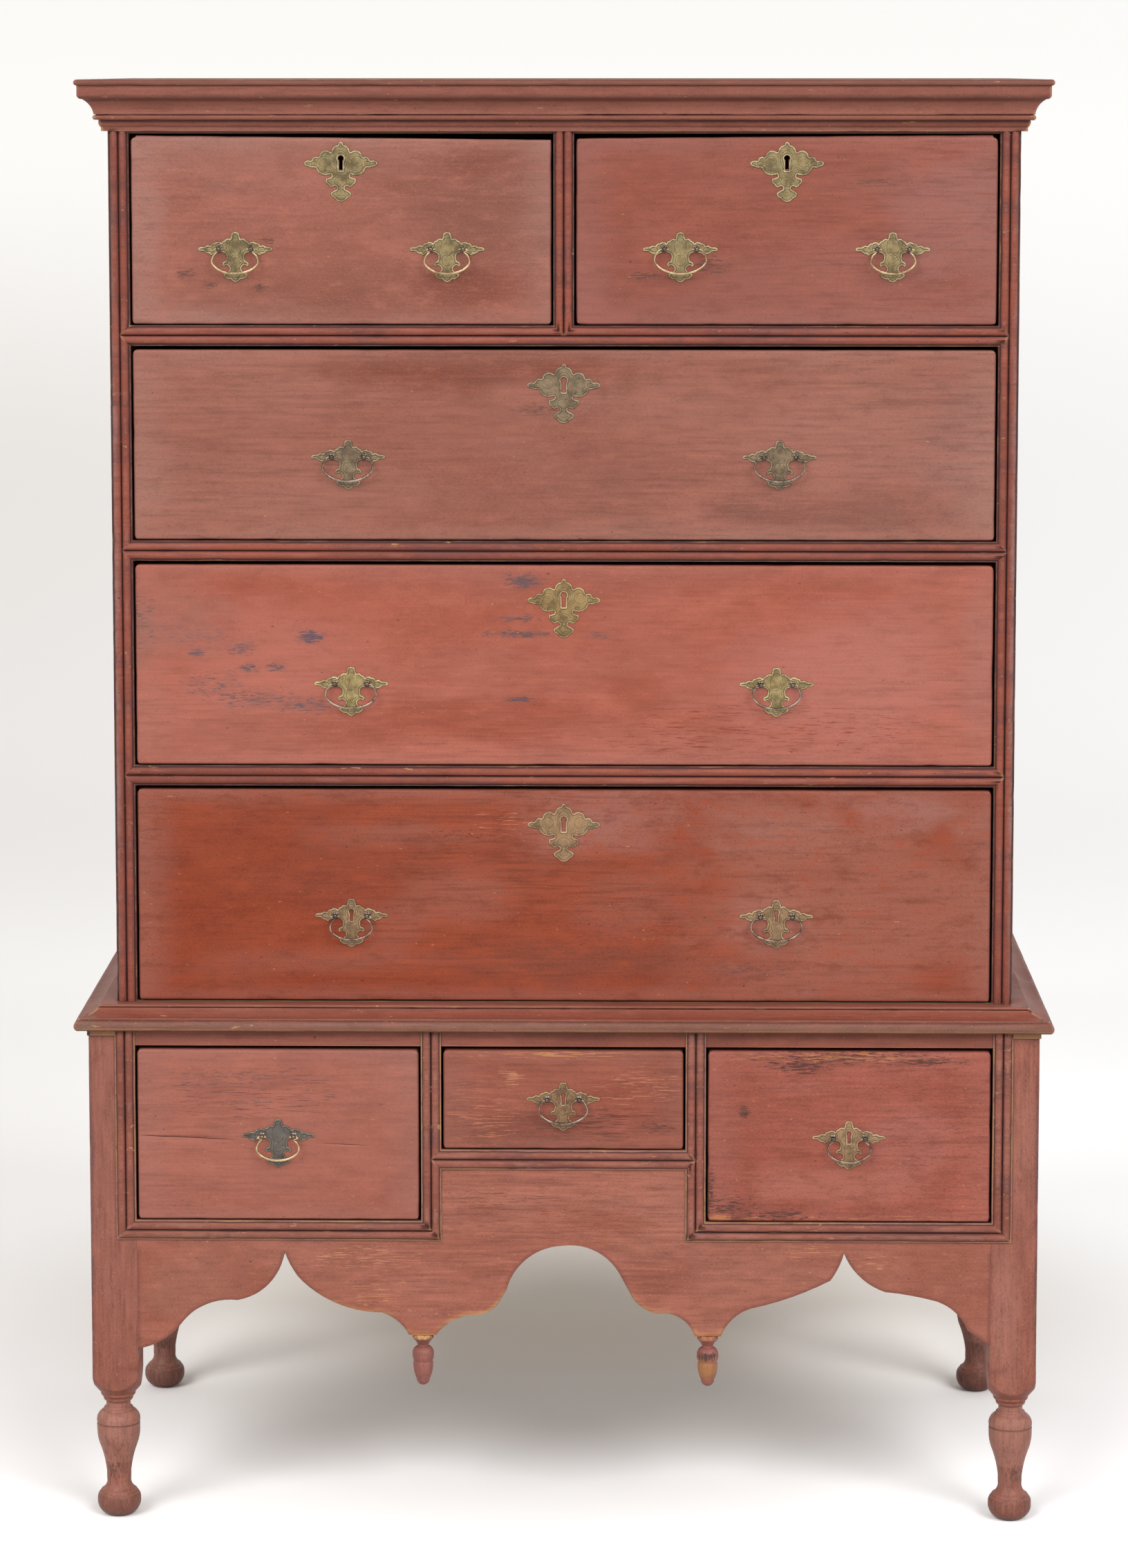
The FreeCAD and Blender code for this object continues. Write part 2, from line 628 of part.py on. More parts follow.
# ---------------------------------------------------------------- drawers
def drawer(name, opening, face, length, handles, key=None, locked=False, slotted=False):
    """One drawer. opening is (x0, x1, z0, z1); handles is a list of (name, x, z, half width)."""
    x0 = opening[0] + gap_side
    x1 = opening[1] - gap_side
    z0 = opening[2] + gap_bottom
    z1 = opening[3] - gap_top
    inner = face + front_thickness
    end = face + length
    front = block(x0, x1, face, inner, z0, z1)
    rim = [edge for edge in front.Edges if edge.BoundBox.YMax < face + 0.01]
    front = front.makeFillet(front_edge_radius, rim)

    floor = opening[2] + runner_clearance
    side_head = z1 - drawer_side_drop
    middle = (floor + side_head) / 2
    spread = (side_head - floor) / 2 - dovetail_margin
    tails = 3 if spread > dovetail_width * 1.8 else 2
    sides = []
    for edge, sign in ((x0, 1), (x1, -1)):
        a, b = sorted((edge, edge + sign * drawer_side_thickness))
        side = block(a, b, inner, end, floor, side_head)
        parts = [side]
        for i in range(tails):
            z = middle + spread * (2 * i / (tails - 1) - 1)
            narrow = dovetail_width / 2 - dovetail_flare
            wide = dovetail_width / 2
            tail = prism((inner, z - narrow),
                         [(inner - dovetail_lap, z - wide), (inner - dovetail_lap, z + wide),
                          (inner, z + narrow)],
                         lambda y, w: V(a, y, w), V(drawer_side_thickness, 0, 0))
            front = front.cut(tail)
            parts.append(tail)
        sides.append(fuse(parts))
    in0 = x0 + drawer_side_thickness
    in1 = x1 - drawer_side_thickness
    bottom_z = floor + drawer_bottom_lift
    bottom = block(in0, in1, inner, end, bottom_z, bottom_z + drawer_bottom_thickness)
    rear = block(in0, in1, end - drawer_back_thickness, end, bottom_z + drawer_bottom_thickness,
                 side_head)
    export(name + "_drawer_box", sides + [bottom, rear])

    brasses = []
    for label, x, z, half_width in handles:
        brasses.append(handle_plate(x, face, z, slotted))
        for sign in (-1, 1):
            post_x = x + sign * post_spacing / 2
            brasses.append(bail_post(post_x, face, z, inner))
            front = front.cut(Part.makeCylinder(post_shank_radius + shank_clearance, front_thickness + 2,
                                                V(post_x, face - 1, z), V(0, 1, 0)))
        export(name + "_drawer_bail" + label, bail(x, face, z, half_width))
    if key:
        brasses.append(escutcheon(key[0], face, key[1]))
    if locked:
        hole = keyhole(key[0], face, key[1] + 5, front_thickness + lock_thickness + 2)
        front = front.cut(hole)
        lock = block(key[0] - lock_width / 2, key[0] + lock_width / 2, inner, inner + lock_thickness,
                     z1 - lock_height, z1)
        export(name + "_drawer_lock", lock.cut(hole))
    export(name + "_drawer_front", front)
    export(name + "_drawer_brasses", brasses)


handle_drop_top = 120.8         # top of the opening to the bail posts, top row
handle_drops = (139.8, 130.7, 117.0)    # the same, in the full-width rows, lowest row first
key_drop_top = 31.0             # top of the opening to the widest part of the escutcheon
key_drop = 41.0
handle_spread_top = 111.5       # half the distance between the handles of a top drawer
handle_spreads = (227.0, 226.0, 228.0)  # the same, in the full-width rows, lowest row first
base_handle_drop = 97.0
centre_handle_drop = 56.0


def build_drawers():
    half_board = board / 2
    middle_top = (chest_opening + half_board) / 2
    floor, top = rows[3]
    for side, sign, widths in (("left", -1, (round_bail, round_bail)),
                               ("right", 1, (wide_bail, round_bail))):
        x = sign * middle_top
        edges = sorted((sign * half_board, sign * chest_opening))
        handles = [("_" + place, x + mark * handle_spread_top, top - handle_drop_top, width)
                   for place, mark, width in (("left", -1, widths[0]), ("right", 1, widths[1]))]
        drawer("top_" + side, (edges[0], edges[1], floor, top), upper_face, upper_drawer_length,
               handles, key=(x, top - key_drop_top), locked=True)
    for name, row, widths, slotted in (("second", 2, (wide_bail, wide_bail), False),
                                       ("third", 1, (wide_bail, wide_bail), False),
                                       ("fourth", 0, (round_bail, wide_bail), True)):
        floor, top = rows[row]
        handles = [("_" + place, mark * handle_spreads[row], top - handle_drops[row], width)
                   for place, mark, width in (("left", -1, widths[0]), ("right", 1, widths[1]))]
        drawer(name, (-chest_opening, chest_opening, floor, top), upper_face, upper_drawer_length,
               handles, key=(0, top - key_drop), slotted=slotted)

    middle_side = (chest_opening + partition_outer) / 2
    for side, sign, slotted in (("left", -1, False), ("right", 1, True)):
        edges = sorted((sign * partition_outer, sign * chest_opening))
        drawer("lower_" + side, (edges[0], edges[1], side_opening_floor, base_opening_top), lower_face,
               lower_drawer_length, [("", sign * middle_side, base_opening_top - base_handle_drop,
                                      round_bail)], slotted=slotted)
    drawer("lower_centre", (-half_centre, half_centre, centre_opening_floor, base_opening_top),
           lower_face, lower_drawer_length,
           [("", 0, base_opening_top - centre_handle_drop, wide_bail)], slotted=True)


# ---------------------------------------------------------------- build and write
def main():
    build_chest()
    build_chest_beads()
    build_cornice()
    build_waist()
    build_legs()
    build_apron()
    build_base()
    build_base_beads()
    build_drawers()
    os.makedirs("parts", exist_ok=True)
    for name, solids in nodes.items():
        shape = solids[0] if len(solids) == 1 else Part.makeCompound(solids)
        shape.exportStep(os.path.join("parts", name + ".step"))
        print(name, len(shape.Solids), round(shape.Volume / 1000), "cm3", shape.isValid())
    print(len(nodes), "nodes")


main()
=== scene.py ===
import json
from math import asin, atan, atan2, copysign, cos, hypot, pi, radians, sin, sqrt, tau

import bmesh
import bpy
import numpy as np
from mathutils import Matrix, Vector, noise
from mathutils.geometry import delaunay_2d_cdt


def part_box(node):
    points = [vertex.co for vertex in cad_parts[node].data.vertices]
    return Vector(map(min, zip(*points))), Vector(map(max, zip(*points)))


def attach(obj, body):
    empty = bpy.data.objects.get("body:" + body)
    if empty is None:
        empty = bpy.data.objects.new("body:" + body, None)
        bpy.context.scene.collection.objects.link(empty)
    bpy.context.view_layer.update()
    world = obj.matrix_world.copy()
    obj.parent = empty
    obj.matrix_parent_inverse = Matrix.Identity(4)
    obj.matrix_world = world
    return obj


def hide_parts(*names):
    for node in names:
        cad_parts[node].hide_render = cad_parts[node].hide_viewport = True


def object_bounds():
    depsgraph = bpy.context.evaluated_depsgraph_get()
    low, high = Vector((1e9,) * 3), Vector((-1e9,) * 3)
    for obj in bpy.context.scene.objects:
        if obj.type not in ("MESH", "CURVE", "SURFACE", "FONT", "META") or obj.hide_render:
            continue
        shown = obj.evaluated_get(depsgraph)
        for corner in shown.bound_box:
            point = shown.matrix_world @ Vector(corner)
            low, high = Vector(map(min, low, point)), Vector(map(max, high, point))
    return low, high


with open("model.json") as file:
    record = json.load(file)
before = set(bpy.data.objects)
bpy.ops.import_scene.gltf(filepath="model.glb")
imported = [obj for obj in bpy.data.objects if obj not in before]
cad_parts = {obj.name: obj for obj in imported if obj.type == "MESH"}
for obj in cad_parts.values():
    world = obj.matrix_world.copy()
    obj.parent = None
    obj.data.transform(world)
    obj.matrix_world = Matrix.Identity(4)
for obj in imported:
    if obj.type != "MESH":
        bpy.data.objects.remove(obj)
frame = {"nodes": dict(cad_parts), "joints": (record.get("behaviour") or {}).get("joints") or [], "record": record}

MM = 0.001
scene = bpy.context.scene
cad_box = [list(corner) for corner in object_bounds()]
nodes = frame["nodes"]
joint_at = {j["name"]: Vector(j["pos_m"]) for j in frame["joints"]}
body_of = {n: b for b, members in frame["record"]["behaviour"]["bodies"].items() for n in members}

# Sizes read from the frame, in metres.
chest_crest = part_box("upper_bead_mouldings")[0].y
base_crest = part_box("lower_bead_mouldings")[0].y
base_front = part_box("apron")[0].y
opening_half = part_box("lower_top_rail")[1].x
strip_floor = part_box("lower_bead_mouldings")[0].z
cornice_floor, chest_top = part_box("cornice_moulding")[0].z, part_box("cornice_moulding")[1].z
base_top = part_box("front_left_leg")[1].z
bead_rise = 3.4 * MM            # of the bead strips over the ground they stand on


# ------------ shader helpers
class Shader:
    """A node material with short calls for the nodes it is made of; colour is what was laid so far."""

    def __init__(self, name):
        self.material = bpy.data.materials.new(name)
        self.material.use_nodes = True
        self.tree = self.material.node_tree
        self.tree.nodes.clear()
        out = self.tree.nodes.new("ShaderNodeOutputMaterial")
        self.bsdf = self.tree.nodes.new("ShaderNodeBsdfPrincipled")
        self.tree.links.new(self.bsdf.outputs[0], out.inputs[0])
        self.point = self.tree.nodes.new("ShaderNodeTexCoord").outputs["Object"]
        self.x, self.y, self.z = self.add("ShaderNodeSeparateXYZ", [self.point]).outputs
        self.colour = None

    def feed(self, socket, value):
        """Links an output to an input, or sets the input to a plain value."""
        if isinstance(value, bpy.types.NodeSocket):
            self.tree.links.new(value, socket)
        else:
            socket.default_value = value

    def add(self, kind, inputs=(), **props):
        node = self.tree.nodes.new(kind)
        for key, value in props.items():
            setattr(node, key, value)
        pairs = inputs.items() if isinstance(inputs, dict) else enumerate(inputs)
        for key, value in pairs:
            if value is not None:
                self.feed(node.inputs[key], value)
        return node

    def math(self, op, a, b=None, clamp=False):
        return self.add("ShaderNodeMath", [a, b], operation=op, use_clamp=clamp).outputs[0]

    def mul(self, a, b):
        return self.math("MULTIPLY", a, b)

    def plus(self, a, b):
        return self.math("ADD", a, b)

    def minus(self, a, b):
        return self.math("SUBTRACT", a, b)

    def length(self, a, b):
        return self.math("SQRT", self.plus(self.mul(a, a), self.mul(b, b)))

    def band(self, value, start, end, amount=1.0):
        """Smooth step from 0 at start to amount at end; it falls where start lies above end."""
        outs = (0.0, amount) if start < end else (amount, 0.0)
        return self.add("ShaderNodeMapRange", [value, min(start, end), max(start, end), *outs],
                        interpolation_type="SMOOTHSTEP").outputs[0]

    def line(self, value, low, high, out_low, out_high):
        """Straight ramp from out_low to out_high, level outside it."""
        return self.add("ShaderNodeMapRange", [value, low, high, out_low, out_high]).outputs[0]

    def scaled(self, scale, offset):
        return self.add("ShaderNodeMapping", {"Vector": self.point, "Scale": scale, "Location": offset}
                        ).outputs[0]

    def noise(self, scale, stretch=(1, 1, 1), detail=4.0, rough=0.55, distort=0.0, offset=(0, 0, 0)):
        return self.add("ShaderNodeTexNoise", {
            "Vector": self.scaled(stretch, offset), "Scale": scale, "Detail": detail,
            "Roughness": rough, "Distortion": distort}).outputs[0]

    def near(self, x, z, across, up, ragged=None):
        """0 at the middle of an upright ellipse given in millimetres, 1 on its rim."""
        far = self.length(self.math("DIVIDE", self.minus(self.x, x * MM), across * MM),
                          self.math("DIVIDE", self.minus(self.z, z * MM), up * MM))
        return far if ragged is None else self.plus(far, ragged)

    def hollow(self, distance, inside=False):
        """Share of nearby surface around a point: 0 on an open flat, near 1 in a tight corner
        (or, with inside, on a sharp outer edge)."""
        ao = self.add("ShaderNodeAmbientOcclusion", {"Distance": distance}, inside=inside,
                      only_local=inside, samples=5)
        return self.math("SUBTRACT", 1.0, ao.outputs["AO"], clamp=True)

    def attribute(self, name):
        return self.add("ShaderNodeAttribute", attribute_name=name).outputs["Fac"]

    def mix(self, share, a, b, blend="MIX"):
        return self.add("ShaderNodeMix", {0: share, 6: a, 7: b}, data_type="RGBA",
                        blend_type=blend).outputs[2]

    def two(self, share, a, b):
        """Mix of two screen colours."""
        return self.mix(share, srgb(a), srgb(b))

    def lay(self, share, shade):
        """Lays a screen colour, or the output of two(), over what was laid before."""
        if not isinstance(shade, bpy.types.NodeSocket):
            shade = srgb(shade)
        self.colour = self.mix(share, self.colour, shade)

    def wash(self, mask, start, end, amount, shade):
        """Lays a shade where the mask steps from start to end."""
        self.lay(self.band(mask, start, end, amount), shade)

    def coat(self, rough, relief, strength, depth, specular=0.5, metallic=0.0):
        """Puts the colour on the surface, with its roughness and a fine relief."""
        bump = self.add("ShaderNodeBump", {"Height": relief, "Strength": strength, "Distance": depth})
        surface = {"Base Color": self.colour, "Roughness": rough, "Specular IOR Level": specular,
                   "Metallic": metallic, "Normal": bump.outputs[0]}
        for name, value in surface.items():
            self.feed(self.bsdf.inputs[name], value)
        return self.material


def srgb(colour):
    """Colour written in 0-255 screen values, as the linear numbers the shader takes."""
    def one(v):
        v /= 255
        return v / 12.92 if v <= 0.04045 else ((v + 0.055) / 1.055) ** 2.4
    return (*map(one, colour), 1.0)


def tint(colour, factor):
    return tuple(min(255, v * factor) for v in colour)


STRETCH = {"x": (0.05, 1, 1), "y": (1, 0.05, 1), "z": (1, 1, 0.05)}     # noise drawn out along the grain


# ------------ paint
TAN = (200, 152, 108)
# Colour and share of dust and painted shade, laid in hollows, corners and next to the brasses and mouldings.
GRIME_AND_SHADE = (74, 46, 46)
GRIME_AND_SHADE_SHARE = 0.75
PAINT_AGE = (0.93, 0.935, 0.935, 1.0)       # how much the whole chest has darkened


def paint(name, body, deep, haze, grain="x", haze_amount=0.3, rim_amount=0.4, patches=(), scuffs=(),
          scratches=(), rubs=(), bands=(), rim=None, bead=None, wear=0.5, chips=0.0, seed=0.0,
          roughness=0.5, flush=False, arris=0.0, lively=1.35):
    """Old brick-red paint, thin over the wood. patches, scuffs (dark flecks) and scratches (fine lines
    along the grain) are (x, z, across, up, colour, amount); rubs are (x, z, across, up, amount), where
    an edge is worn to the wood, all in millimetres; bands are (z0, z1, colour, amount); rim is the
    outline of a drawer front; bead is the y of a strip's crest; flush keeps the joint of apron and leg
    without wear; arris darkens the lower edge of the apron; lively is how strongly fine marks show."""
    s = Shader(name)
    a, b, c = seed * 1.37, seed * 0.71, seed * 2.13
    turned = (b, c, a)

    def drawn(scale, least, offset=(a, b, c), **look):
        """Noise drawn out along the grain, its scale there no smaller than least."""
        return s.noise(scale, tuple(max(least, v) for v in STRETCH[grain]), offset=offset, **look)

    cloud = drawn(4.5, 0.5, detail=3.0)
    patch = drawn(19.0, 0.5, detail=6.0, rough=0.6, distort=0.4)
    mottle = drawn(85.0, 0.4, turned, detail=5.0, rough=0.66)
    smear = drawn(95.0, 0.07, detail=3.0)
    streak = drawn(330.0, 0.05, detail=3.0, rough=0.6)
    torn = drawn(560.0, 0.17, turned, detail=5.0, rough=0.75)
    hair = drawn(950.0, 0.05, turned, detail=2.0)
    s.colour = s.two(s.band(cloud, 0.36, 0.64), deep, body)
    s.wash(patch, 0.46, 0.62, 0.45, tint(body, 1.06))
    s.wash(patch, 0.47, 0.32, 0.4, tint(deep, 0.93))
    ragged = s.mul(s.minus(patch, 0.5), 1.5)
    frayed = s.mul(ragged, 0.5)
    for x, z, across, up, shade, amount in patches:
        s.wash(s.near(x, z, across, up, ragged), 1.1, 0.3, amount, shade)
    for z0, z1, shade, amount in bands:
        ramp = min(1.2 * MM, (z1 - z0) / 3)
        share = s.mul(s.band(s.z, z0 - ramp, z0 + ramp), s.band(s.z, z1 + ramp, z1 - ramp))
        s.lay(s.mul(share, s.line(patch, 0.3, 0.7, 0.75 * amount, 1.1 * amount)), shade)
    veil = s.band(drawn(6.5, 0.3, (c, a, b), detail=4.0, rough=0.6), 0.42, 0.68, haze_amount)
    if rim:
        x0, x1, z0, z1 = rim
        side = s.math("MINIMUM", s.minus(s.x, x0), s.minus(x1, s.x))
        end = s.math("MINIMUM", s.minus(s.z, z0), s.minus(z1, s.z))
        side = s.band(s.plus(side, s.mul(ragged, 0.02)), 0.055, 0.0)
        end = s.band(s.plus(end, s.mul(ragged, 0.012)), 0.024, 0.0, 0.8)
        veil = s.plus(veil, s.mul(s.math("MAXIMUM", side, end), rim_amount))
    s.lay(veil, haze)
    s.wash(mottle, 0.50, 0.68, 0.2 * lively, tint(deep, 0.8))
    s.wash(mottle, 0.48, 0.32, 0.2 * lively, tint(body, 1.14))
    calm = s.line(cloud, 0.4, 0.6, 0.35, 1.0)
    s.lay(s.mul(s.band(smear, 0.50, 0.68, 0.14 * lively), calm), tint(deep, 0.82))
    s.lay(s.mul(s.band(streak, 0.50, 0.66, 0.2 * lively), calm), tint(deep, 0.68))
    s.lay(s.mul(s.band(streak, 0.46, 0.32, 0.18 * lively), calm), tint(body, 1.22))
    grit = drawn(1300.0, 0.3, turned, detail=1.0)
    s.wash(grit, 0.55, 0.75, 0.3 * lively, tint(deep, 0.74))
    s.wash(grit, 0.45, 0.25, 0.22 * lively, tint(body, 1.18))
    for x, z, across, up, shade, amount in scuffs:
        close = s.band(s.near(x, z, across, up, frayed), 1.2, 0.0)
        hit = s.band(s.plus(torn, s.mul(close, amount * 0.14)), 0.60, 0.635)
        hit = s.mul(hit, s.band(close, 0.0, 0.2, 0.95))
        soft = s.mul(close, s.band(mottle, 0.4, 0.6, 0.35 * amount))
        s.lay(s.math("MAXIMUM", hit, soft), shade)
    for x, z, across, up, shade, amount in scratches:
        close = s.band(s.near(x, z, across, up, frayed), 1.2, 0.0)
        hit = s.band(s.plus(hair, s.mul(close, amount * 0.12)), 0.63, 0.66)
        s.lay(s.mul(hit, s.band(close, 0.0, 0.15, 0.85)), shade)
    if bead is not None:
        depth = s.math("DIVIDE", s.minus(s.y, bead), bead_rise)
        gloom = drawn(30.0, 0.25, turned, detail=7.0, rough=0.78)
        s.wash(s.plus(gloom, s.mul(depth, 0.1)), 0.50, 0.64, 0.6, (108, 68, 66))
        # Paler bead crests: worn paint and a painted highlight.
        worn = s.band(drawn(48.0, 0.3, detail=6.0, rough=0.75), 0.48, 0.62, 0.3)
        s.lay(s.mul(worn, s.band(depth, 0.2, 0.02)), tint(haze, 1.12))
        # Darker down in the grooves of the beads: dust and painted shade.
        s.wash(s.plus(depth, s.mul(ragged, 0.3)), 0.3, 0.8, 0.88, (72, 44, 43))
    speck = drawn(300.0, 0.4, detail=2.0)
    s.wash(speck, 0.73, 0.76, 0.55, TAN)
    s.wash(speck, 0.28, 0.24, 0.6, tint(deep, 0.55))
    if chips:
        flake = drawn(170.0, 0.22, (b, a, c), detail=5.0, rough=0.68)
        s.lay(s.band(flake, 0.70 - 0.1 * chips, 0.73 - 0.1 * chips, 0.8), TAN)
    # Dust and painted shade: darker in hollows and corners, next to the brasses and along the mouldings.
    dirt_and_shade = s.band(s.hollow(5.5 * MM), 0.12, 0.75, GRIME_AND_SHADE_SHARE)
    s.lay(s.mul(dirt_and_shade, s.line(patch, 0.3, 0.7, 0.8, 1.1)), GRIME_AND_SHADE)
    if arris:
        dim = s.band(s.plus(s.hollow(5.0 * MM, inside=True), s.mul(ragged, 0.15)), 0.08, 0.3, arris)
        s.lay(s.mul(dim, s.band(s.z, base_top - 0.23, base_top - 0.25)), (112, 66, 60))
    for x, z, across, up, amount in rubs:
        wide = s.band(s.plus(s.hollow(6.0 * MM, inside=True), frayed), 0.06, 0.3)
        close = s.band(s.near(x, z, across, up), 1.1, 0.4, amount)
        s.lay(s.mul(wide, close), s.two(s.band(streak, 0.45, 0.55), tint(TAN, 1.05), (196, 124, 72)))
    edge = s.hollow(2.4 * MM, inside=True)
    rub = s.band(s.plus(edge, s.mul(s.minus(mottle, 0.5), 1.3)), 0.36, 0.62)
    rub = s.mul(rub, s.band(edge, 0.05, 0.22, wear))
    if flush:
        off = s.math("ABSOLUTE", s.minus(s.math("ABSOLUTE", s.x), opening_half))
        rub = s.mul(rub, s.band(off, 4 * MM, 8 * MM))
    s.lay(rub, s.two(s.band(patch, 0.46, 0.56), tint(haze, 1.1), TAN))
    s.colour = s.mix(1.0, s.colour, PAINT_AGE, blend="MULTIPLY")
    rough = s.line(s.plus(s.mul(patch, 0.6), s.mul(smear, 0.4)), 0.3, 0.7, roughness + 0.08,
                   roughness - 0.08)
    return s.coat(rough, s.plus(s.mul(streak, 0.6), s.mul(mottle, 0.5)), 0.25, 0.5 * MM, specular=0.25)


# ------------ other finishes
def bare_wood(name, grain, seed, light=(190, 152, 106), dark=(142, 100, 62), dust_and_shade=0.5):
    """Unpainted pine gone brown with age."""
    s = Shader(name)
    shift = (seed, seed * 0.6, seed * 1.9)
    rings = s.add("ShaderNodeTexWave", {
        "Vector": s.scaled(STRETCH[grain], shift), "Scale": 9.0, "Distortion": 11.0,
        "Detail": 4.0, "Detail Scale": 1.1}, wave_type="RINGS").outputs["Fac"]
    streak = s.noise(260.0, STRETCH[grain], detail=5.0, offset=shift)
    stain = s.noise(6.0, detail=5.0, rough=0.65, offset=shift)
    rings = s.mul(s.band(rings, 0.1, 1.0), s.line(stain, 0.3, 0.7, 0.3, 0.8))
    s.colour = s.two(rings, light, dark)
    s.wash(streak, 0.45, 0.7, 0.4, tint(dark, 0.75))
    s.wash(stain, 0.42, 0.75, 0.45, (112, 82, 56))
    # Darker in corners and hollows: dust and painted shade.
    s.wash(s.hollow(20 * MM), 0.1, 0.8, dust_and_shade, (70, 50, 36))
    return s.coat(s.line(streak, 0.3, 0.7, 0.72, 0.84), s.plus(s.mul(rings, 0.3), s.mul(streak, 0.7)),
                  0.4, 0.6 * MM, specular=0.3)


def brass(name, body, dark, rim, metallic=0.28, roughness=0.42, verdigris=0.15):
    """Old cast brass: dull olive, dark in the cut lines and hollows, worn pale on the edges and given a painted
    highlight there. The plates carry the depth of their cut lines as the attribute 'cut', and as 'rim' the band
    of painted highlight and wear on their rim and next to the cut lines."""
    s = Shader(name)
    blot = s.noise(130.0, detail=5.0, rough=0.65)
    fine = s.noise(1500.0, detail=3.0)
    s.colour = s.two(s.band(blot, 0.36, 0.66), dark, body)
    s.wash(s.noise(38.0, detail=3.0), 0.45, 0.62, 0.4, tint(body, 1.12))
    s.wash(fine, 0.5, 0.72, 0.35, tint(dark, 0.7))
    s.wash(s.noise(75.0, detail=4.0, offset=(3, 1, 2)), 0.58, 0.68, verdigris, (96, 116, 88))
    s.wash(s.attribute("cut"), 0.15, 0.9, 0.8, tint(dark, 0.5))
    s.wash(s.hollow(2.2 * MM), 0.1, 0.7, 0.75, tint(dark, 0.45))
    # Paler on the sharp outer edges: worn brass and a painted highlight.
    edge = s.band(s.hollow(0.8 * MM, inside=True), 0.12, 0.5)
    s.lay(s.mul(edge, s.band(blot, 0.38, 0.5)), rim)
    # Paler along the rim and next to the cut lines: wear and a painted highlight.
    rubbed_and_highlit = s.band(s.attribute("rim"), 0.35, 0.8)
    s.lay(s.mul(rubbed_and_highlit, s.line(s.band(blot, 0.4, 0.56), 0, 1, 0.25, 0.9)), rim)
    rough = s.line(s.plus(blot, s.mul(fine, 0.3)), 0.4, 0.9, roughness - 0.08, roughness + 0.12)
    return s.coat(rough, s.plus(s.mul(blot, 0.5), fine), 0.25, 0.3 * MM, metallic=metallic)


def iron(name):
    s = Shader(name)
    blot = s.noise(60.0, detail=6.0, rough=0.7)
    s.colour = s.two(s.band(blot, 0.4, 0.66), (52, 46, 42), (96, 66, 48))
    return s.coat(s.line(blot, 0.3, 0.7, 0.5, 0.75), blot, 0.4, 0.6 * MM, metallic=0.6)


# ------------ mesh helpers
def cad_mesh(node):
    """The CAD node's mesh with its seams welded and its flats made whole again."""
    bm = bmesh.new()
    bm.from_mesh(nodes[node].data)
    bmesh.ops.remove_doubles(bm, verts=bm.verts, dist=0.00002)
    bmesh.ops.dissolve_limit(bm, angle_limit=radians(0.3), verts=bm.verts, edges=bm.edges)
    return bm


def unit(axis):
    return Vector([float(i == axis) for i in range(3)])


def cut_plane(bm, point, normal):
    bmesh.ops.bisect_plane(bm, geom=bm.verts[:] + bm.edges[:] + bm.faces[:], dist=1e-6,
                           plane_co=point, plane_no=normal)


def slice_up(bm, axis, step):
    """Cuts the mesh across an axis about every step, so that it can bend."""
    values = [v.co[axis] for v in bm.verts]
    low, high = min(values), max(values)
    count = max(1, round((high - low) / step))
    for i in range(1, count):
        cut_plane(bm, unit(axis) * (low + (high - low) * i / count), unit(axis))


def soften(bm, width, wanted):
    """Rounds the sharp edges for which wanted(edge middle, edge direction) is true."""
    edges = []
    for edge in bm.edges:
        if not edge.is_manifold or edge.calc_face_angle(0) < radians(50):
            continue
        a, b = edge.verts[0].co, edge.verts[1].co
        if wanted((a + b) / 2, b - a):
            edges.append(edge)
    bmesh.ops.bevel(bm, geom=edges, offset=width, segments=2, profile=0.6, affect="EDGES",
                    clamp_overlap=True)


def sway(bm, amount, wave, dents=0.0):
    """Moves the surface in and out along its normals, as hand-planed and worn wood does."""
    bm.normal_update()
    moves = []
    for v in bm.verts:
        push = amount * (noise.noise(v.co / wave) + 0.4 * noise.noise(v.co * 4 / wave + Vector((0, 0, 5))))
        if dents:
            hit = noise.noise(v.co * 60 + Vector((0, 9, 0)))
            push -= dents * min(1.0, max(0.0, hit - 0.30) * 4)
        moves.append(v.normal * push)
    for v, move in zip(bm.verts, moves):
        v.co += move


def tube(bm, rings):
    """Walls between rings of vertices, and both ends."""
    count = len(rings[0])
    for a, b in zip(rings, rings[1:]):
        for i in range(count):
            bm.faces.new((a[i], a[(i + 1) % count], b[(i + 1) % count], b[i]))
    bm.faces.new(rings[0])
    bm.faces.new(rings[-1][::-1])


def mesh_of(name, bm, material):
    mesh = bpy.data.meshes.new(name)
    bm.to_mesh(mesh)
    bm.free()
    mesh.materials.append(material)
    return mesh


def show(name, data):
    """Puts an object with this data into the scene."""
    obj = bpy.data.objects.new(name, data)
    scene.collection.objects.link(obj)
    return obj


def piece(name, bm, material, node, angle=34, metal=False):
    """A visual piece that rides with the body of a CAD node and stays inside the box of the solids."""
    if metal:
        bmesh.ops.recalc_face_normals(bm, faces=bm.faces)
    for v in bm.verts:
        v.co = [min(max(c, least), most) for c, least, most in zip(v.co, *cad_box)]
    bmesh.ops.triangulate(bm, faces=[f for f in bm.faces if len(f.verts) > 4])
    mesh = mesh_of(name, bm, material)
    mesh.shade_smooth()
    mesh.set_sharp_from_angle(angle=radians(angle))
    obj = show(name, mesh)
    if not metal:
        obj.modifiers.new("weighted_normals", "WEIGHTED_NORMAL").keep_sharp = True
    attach(obj, body_of[node])
    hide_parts(node)


def dress(node, material):
    data = nodes[node].data
    data.materials.clear()
    data.materials.append(material)
